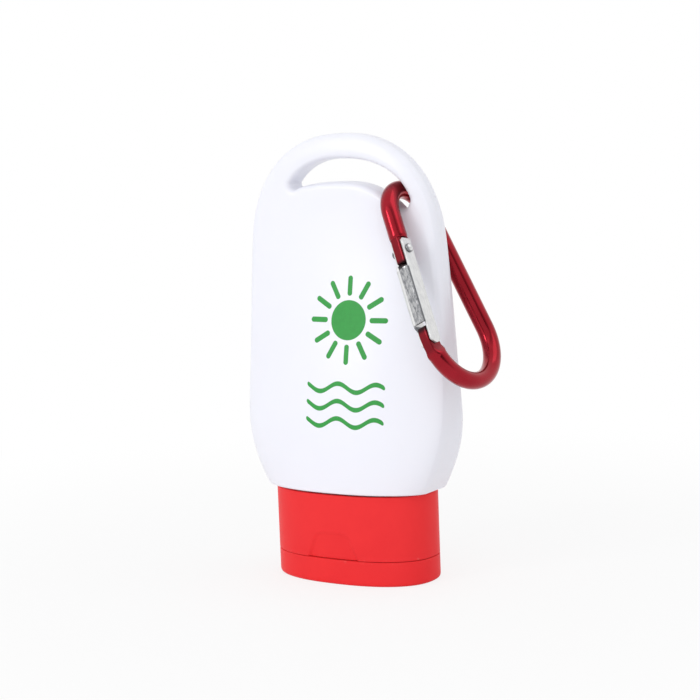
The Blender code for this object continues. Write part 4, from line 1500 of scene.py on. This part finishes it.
    def gate_edges(self, along: Array) -> tuple[Array, Array, Array]:
        """Where the cheeks' edges lie, drawn together by quarter circles at the gate's head and foot.

        Args:
            along: Distances along the gate.

        Returns:
            The free edge, the web, and the far cheek's outer edge, which is set back beside heel and nose.
        """
        head = ramp(along, self.gate_start + self.head_round, self.gate_start)
        foot = ramp(along, self.gate_end - self.foot_round, self.gate_end)
        width, middle = self.outer_depth + self.inner_depth, 0.5 * (self.inner_depth - self.outer_depth)
        shrink = 1.0 - self.head_round / width * 2.0 * (1.0 - np.sqrt(1.0 - head ** 2))
        shrink = shrink * np.maximum(np.sqrt(1.0 - foot ** 2), self.foot_least_share)
        top = middle + (self.inner_depth - middle) * shrink
        low = middle - (self.outer_depth + middle) * shrink
        beside = 1.0 - smooth(along - self.heel_end, *self.heel_flow) * smooth(
            self.nose_start - along, *self.window_flow)
        folded = low + self.fold
        return top, low, folded + (np.maximum(folded, -self.far_cheek_depth) - folded) * beside

    def gate_sheet(self) -> bpy.types.Object:
        """The gate: a folded strip with windows at both ends, thickened by a modifier.

        The strip's width is unrolled: a cheek, a quarter-round fold, the web, a fold and a cheek. Each
        cheek's free edge follows rounded ends, and faces of the web past its ends are left out.

        Returns:
            The gate.
        """
        half, fold, count = 0.5 * self.gate_width, self.fold, self.cheek_points
        along = self.gate_rows()[:, None]
        top, low, far = self.gate_edges(along)
        turn = np.linspace(0.0, 0.5 * math.pi, self.fold_points + 2)[None, 1:-1]
        cheek = np.linspace(0.0, 1.0, count)
        across = np.concatenate([np.full(count, -half), -half + fold * (1.0 - np.cos(turn[0])),
                                 np.linspace(-half + fold, half - fold, self.web_points),
                                 half - fold * (1.0 - np.sin(turn[0])), np.full(count, half)])
        inwards = np.hstack([top + (low + fold - top) * cheek, low + fold * (1.0 - np.sin(turn)),
                             np.repeat(low, self.web_points, axis=1), low + fold * (1.0 - np.cos(turn)),
                             (top + (far - top) * cheek)[:, ::-1]])
        places, flow = self.beside_gate(along, across, inwards)
        rows, columns = inwards.shape
        row, column = np.meshgrid(np.arange(rows - 1), np.arange(columns - 1), indexing="ij")
        middle = 0.5 * (along[:-1, 0] + along[1:, 0])[row]
        bridging = (column >= count) & (column < columns - count)
        keep = ~(bridging & ((middle < self.web_start) | (middle > self.web_end)))
        first = (row * columns + column)[keep]
        faces = np.column_stack([first, first + 1, first + columns + 1, first + columns])
        used, numbers = np.unique(faces, return_inverse=True)
        mesh = bpy.data.meshes.new("gate_sheet")
        mesh.from_pydata(places.reshape(-1, 3)[used].tolist(), [], numbers.reshape(faces.shape).tolist())
        store_flow(mesh, flow.reshape(-1, 3)[used])
        mesh.shade_smooth()
        item = placed("gate_sheet", mesh)
        self.thicken(item)
        return item

    def thicken(self, item: bpy.types.Object) -> None:
        """Gives the gate its sheet thickness towards its inside, and breaks its sharp edges."""
        wall = item.modifiers.new("wall", "SOLIDIFY")
        wall.thickness = self.sheet
        wall.offset = -1.0
        edge = item.modifiers.new("edge", "BEVEL")
        edge.width = self.sheet_edge
        edge.segments = 2
        edge.limit_method = "ANGLE"
        edge.angle_limit = math.radians(50.0)

    def rivet_grid(self) -> tuple[Array, Array]:
        """The rivet's grid: domed heads (a quarter ellipse each) on a plain shank."""
        inside = 0.5 * self.gate_width + self.head_gap
        height = self.fit_gap + self.head_height - self.head_gap
        turn = np.linspace(self.dome_start, 0.5 * math.pi, self.dome_rings)
        dome = np.column_stack([self.head_radius * np.sin(turn), inside + height * np.cos(turn)])
        reach = inside - self.head_sink
        shank = np.array([(self.rivet_radius, -reach), (self.rivet_radius, reach)])
        p, w, n = turned(np.vstack([dome * np.array([1.0, -1.0]), shank, dome[::-1]]), self.rivet_columns)
        centre = self.gate_point(np.array(self.rivet_place), np.array(0.0))
        places = self.place.world(np.stack([centre[0] + p, n, centre[1] + w], axis=-1))
        return places, np.stack([p, w, n], axis=-1)

    def plunger_grid(self, end: float) -> tuple[Array, Array]:
        """The plunger's grid: a rounded head and a thin stem."""
        start, tip = end - self.plunger_height, end + self.stem_length
        corners = np.array([(0.25 * self.plunger_radius, start), (self.plunger_radius, start),
                            (self.plunger_radius, end), (self.stem_radius, end), (self.stem_radius, tip),
                            (0.1 * self.stem_radius, tip)])
        rounded = softened(corners, np.array(self.plunger_rounds) * MM)
        inwards, across, along = turned(rounded, self.plunger_columns)
        places, _ = self.beside_gate(along, across, self.spring_offset + inwards)
        return places, np.stack([along, inwards, across], axis=-1)

    def coil_grid(self, end: float) -> tuple[Array, Array]:
        """The spring's grid: a round wire along a helix of even turns."""
        count = self.curls * self.curl_points
        turn = np.linspace(0.0, 2.0 * math.pi * self.curls, count)[:, None]
        start = end + self.fit_gap + self.wire_radius
        along = np.linspace(start, start + self.spring_length - 2.0 * self.wire_radius, count)[:, None]
        ring = np.linspace(0.0, 2.0 * math.pi, self.wire_columns, endpoint=False)[None]
        radius = self.coil_radius + self.wire_radius * np.cos(ring)
        lift = self.wire_radius * np.sin(ring)
        inwards = self.spring_offset + radius * np.cos(turn)
        places, _ = self.beside_gate(along + lift, radius * np.sin(turn), inwards)
        wound = np.broadcast_arrays(turn * self.coil_radius, radius - self.coil_radius, lift)
        return places, np.stack(wound, axis=-1)

    def build(self) -> None:
        """Makes the hook's pieces."""
        wire = PressedSteel("spring_wire", colour=(0.72, 0.72, 0.73), dull=(0.5, 0.5, 0.52), roughness=0.22,
                            relief=self.wire_relief).material()
        sheet = FoldedSteel("gate_plate", fold_depth=self.outer_depth,
                            window=(self.web_end, self.nose_start + self.window_shade_reach)).material()
        domed = RivetSteel("rivet_head", relief=self.wire_relief, rim_radius=self.head_radius).material()
        rod = self.rod_grid()
        red = self.rod_finish.material(float(rod[1][..., 0].max()), self.heel_shoulder, self.nose_length)
        end = self.heel_end + self.fit_gap + self.plunger_height
        ring = closed_surface("hook_ring", *rod, smooth_angle=50.0)
        finish_piece(ring, red, "hook_body", Body.HOOK)
        rivet = closed_surface("hook_rivet", *self.rivet_grid())
        finish_piece(rivet, domed, "gate_rivet", Body.HOOK)
        finish_piece(self.gate_sheet(), sheet, "hook_gate", Body.GATE)
        for name, node, grids in (("gate_plunger", "spring_plunger", self.plunger_grid(end)),
                                  ("gate_coil", "gate_spring", self.coil_grid(end))):
            finish_piece(closed_surface(name, *grids), wire, node, Body.GATE)


@dataclass
class Studio:
    """Floor, lamps and the camera at the photograph's place.

    Each lamp has a name, a place, a width and height, and a power in watts.
    """

    azimuth: float = math.radians(32.66)
    elevation: float = math.radians(7.16)
    roll: float = math.radians(-2.214)
    distance: float = 450.0 * MM
    aim_height: float = 53.94 * MM
    aim_right: float = -0.35 * MM
    sensor: float = 36.0
    focal_share: float = 1902.0 / 700.0
    floor_size: float = 12.0
    sky: float = 0.74
    dark_side: Vector3 = (0.54, -0.84, 0.0)
    room_start: float = 0.35
    room_end: float = 0.85
    room_level: float = 0.2
    lamp_aim: float = 55.0 * MM
    lamps: tuple[tuple[str, Vector3, tuple[float, float], float], ...] = (
        ("front_lamp", (0.2, -1.3, 0.5), (2.2, 1.6), 6.6),
        ("key_lamp", (-0.42, -0.9, 0.42), (0.3, 0.3), 1.4),
        ("fill_lamp", (0.55, 0.15, 1.0), (0.7, 0.7), 1.2))

    def floor(self) -> None:
        """Makes the floor, a plain sheet under the object."""
        half = 0.5 * self.floor_size
        mesh = bpy.data.meshes.new("studio_floor")
        mesh.from_pydata([(-half, -half, 0.0), (half, -half, 0.0), (half, half, 0.0), (-half, half, 0.0)], [],
                         [(0, 1, 2, 3)])
        mesh.materials.append(PaleFloor().material())
        placed("studio_floor", mesh)

    def world(self) -> None:
        """White behind the object and in its reflections, but for a darker room on the camera's side.

        Rays that are not camera, glossy or transmission rays meet a softer even light.
        """
        world = bpy.data.worlds.new("studio_world")
        world.use_nodes = True
        tree = NodeTree(world.node_tree)
        place = tree.node("ShaderNodeTexCoord").outputs["Generated"]
        toward = tree.node("ShaderNodeVectorMath", {"operation": "DOT_PRODUCT"},
                           {0: place, 1: self.dark_side})
        room = Signal(tree, toward.outputs["Value"]).step(self.room_start, self.room_end)
        shown = 1.0 - room * (1.0 - self.room_level)
        level = self.sky + tree.rays("Camera", "Glossy", "Transmission") * (shown - self.sky)
        background = tree.nodes["Background"]
        tree.feed(background.inputs["Color"], (1.0, 1.0, 1.0, 1.0))
        tree.feed(background.inputs["Strength"], level)
        bpy.context.scene.world = world

    def light(self) -> None:
        """Makes the rectangular lamps, which face the bottle's middle."""
        for name, place, size, power in self.lamps:
            data = bpy.data.lights.new(name, "AREA")
            data.shape = "RECTANGLE"
            data.size, data.size_y = size
            data.energy = power
            item = placed(name, data)
            item.location = place
            look = Vector((0.0, 0.0, self.lamp_aim)) - Vector(place)
            item.rotation_euler = look.to_track_quat("-Z", "Y").to_euler()

    def camera(self) -> None:
        """Places the camera: back along azimuth and elevation, rolled, and aimed at the bottle's middle."""
        azimuth, elevation = self.azimuth, self.elevation
        back = Vector((math.sin(azimuth) * math.cos(elevation), -math.cos(azimuth) * math.cos(elevation),
                       math.sin(elevation)))
        right = Vector((math.cos(azimuth), math.sin(azimuth), 0.0))
        up = back.cross(right)
        c, s = math.cos(self.roll), math.sin(self.roll)
        turned_right, turned_up = c * right + s * up, -s * right + c * up
        data = bpy.data.cameras.new("camera")
        data.sensor_width = self.sensor
        data.lens = self.sensor * self.focal_share
        item = placed("camera", data)
        place = Vector((0.0, 0.0, self.aim_height)) + self.aim_right * turned_right + self.distance * back
        turn = Matrix((turned_right, turned_up, back)).transposed().to_4x4()
        item.matrix_world = Matrix.Translation(place) @ turn
        bpy.context.scene.camera = item

    def build(self) -> None:
        """Makes the whole studio."""
        self.floor()
        self.world()
        self.light()
        self.camera()
        bpy.context.scene.view_settings.view_transform = "Standard"


def main() -> None:
    """Builds the bottle, the cap, the hook and the studio in turn."""
    logging.basicConfig(level=logging.INFO)
    Bottle().build()
    Cap().build()
    SnapHook(HookFrame.from_joints(frame["record"]["behaviour"]["joints"])).build()
    Studio().build()


if __name__ == "__main__":
    main()
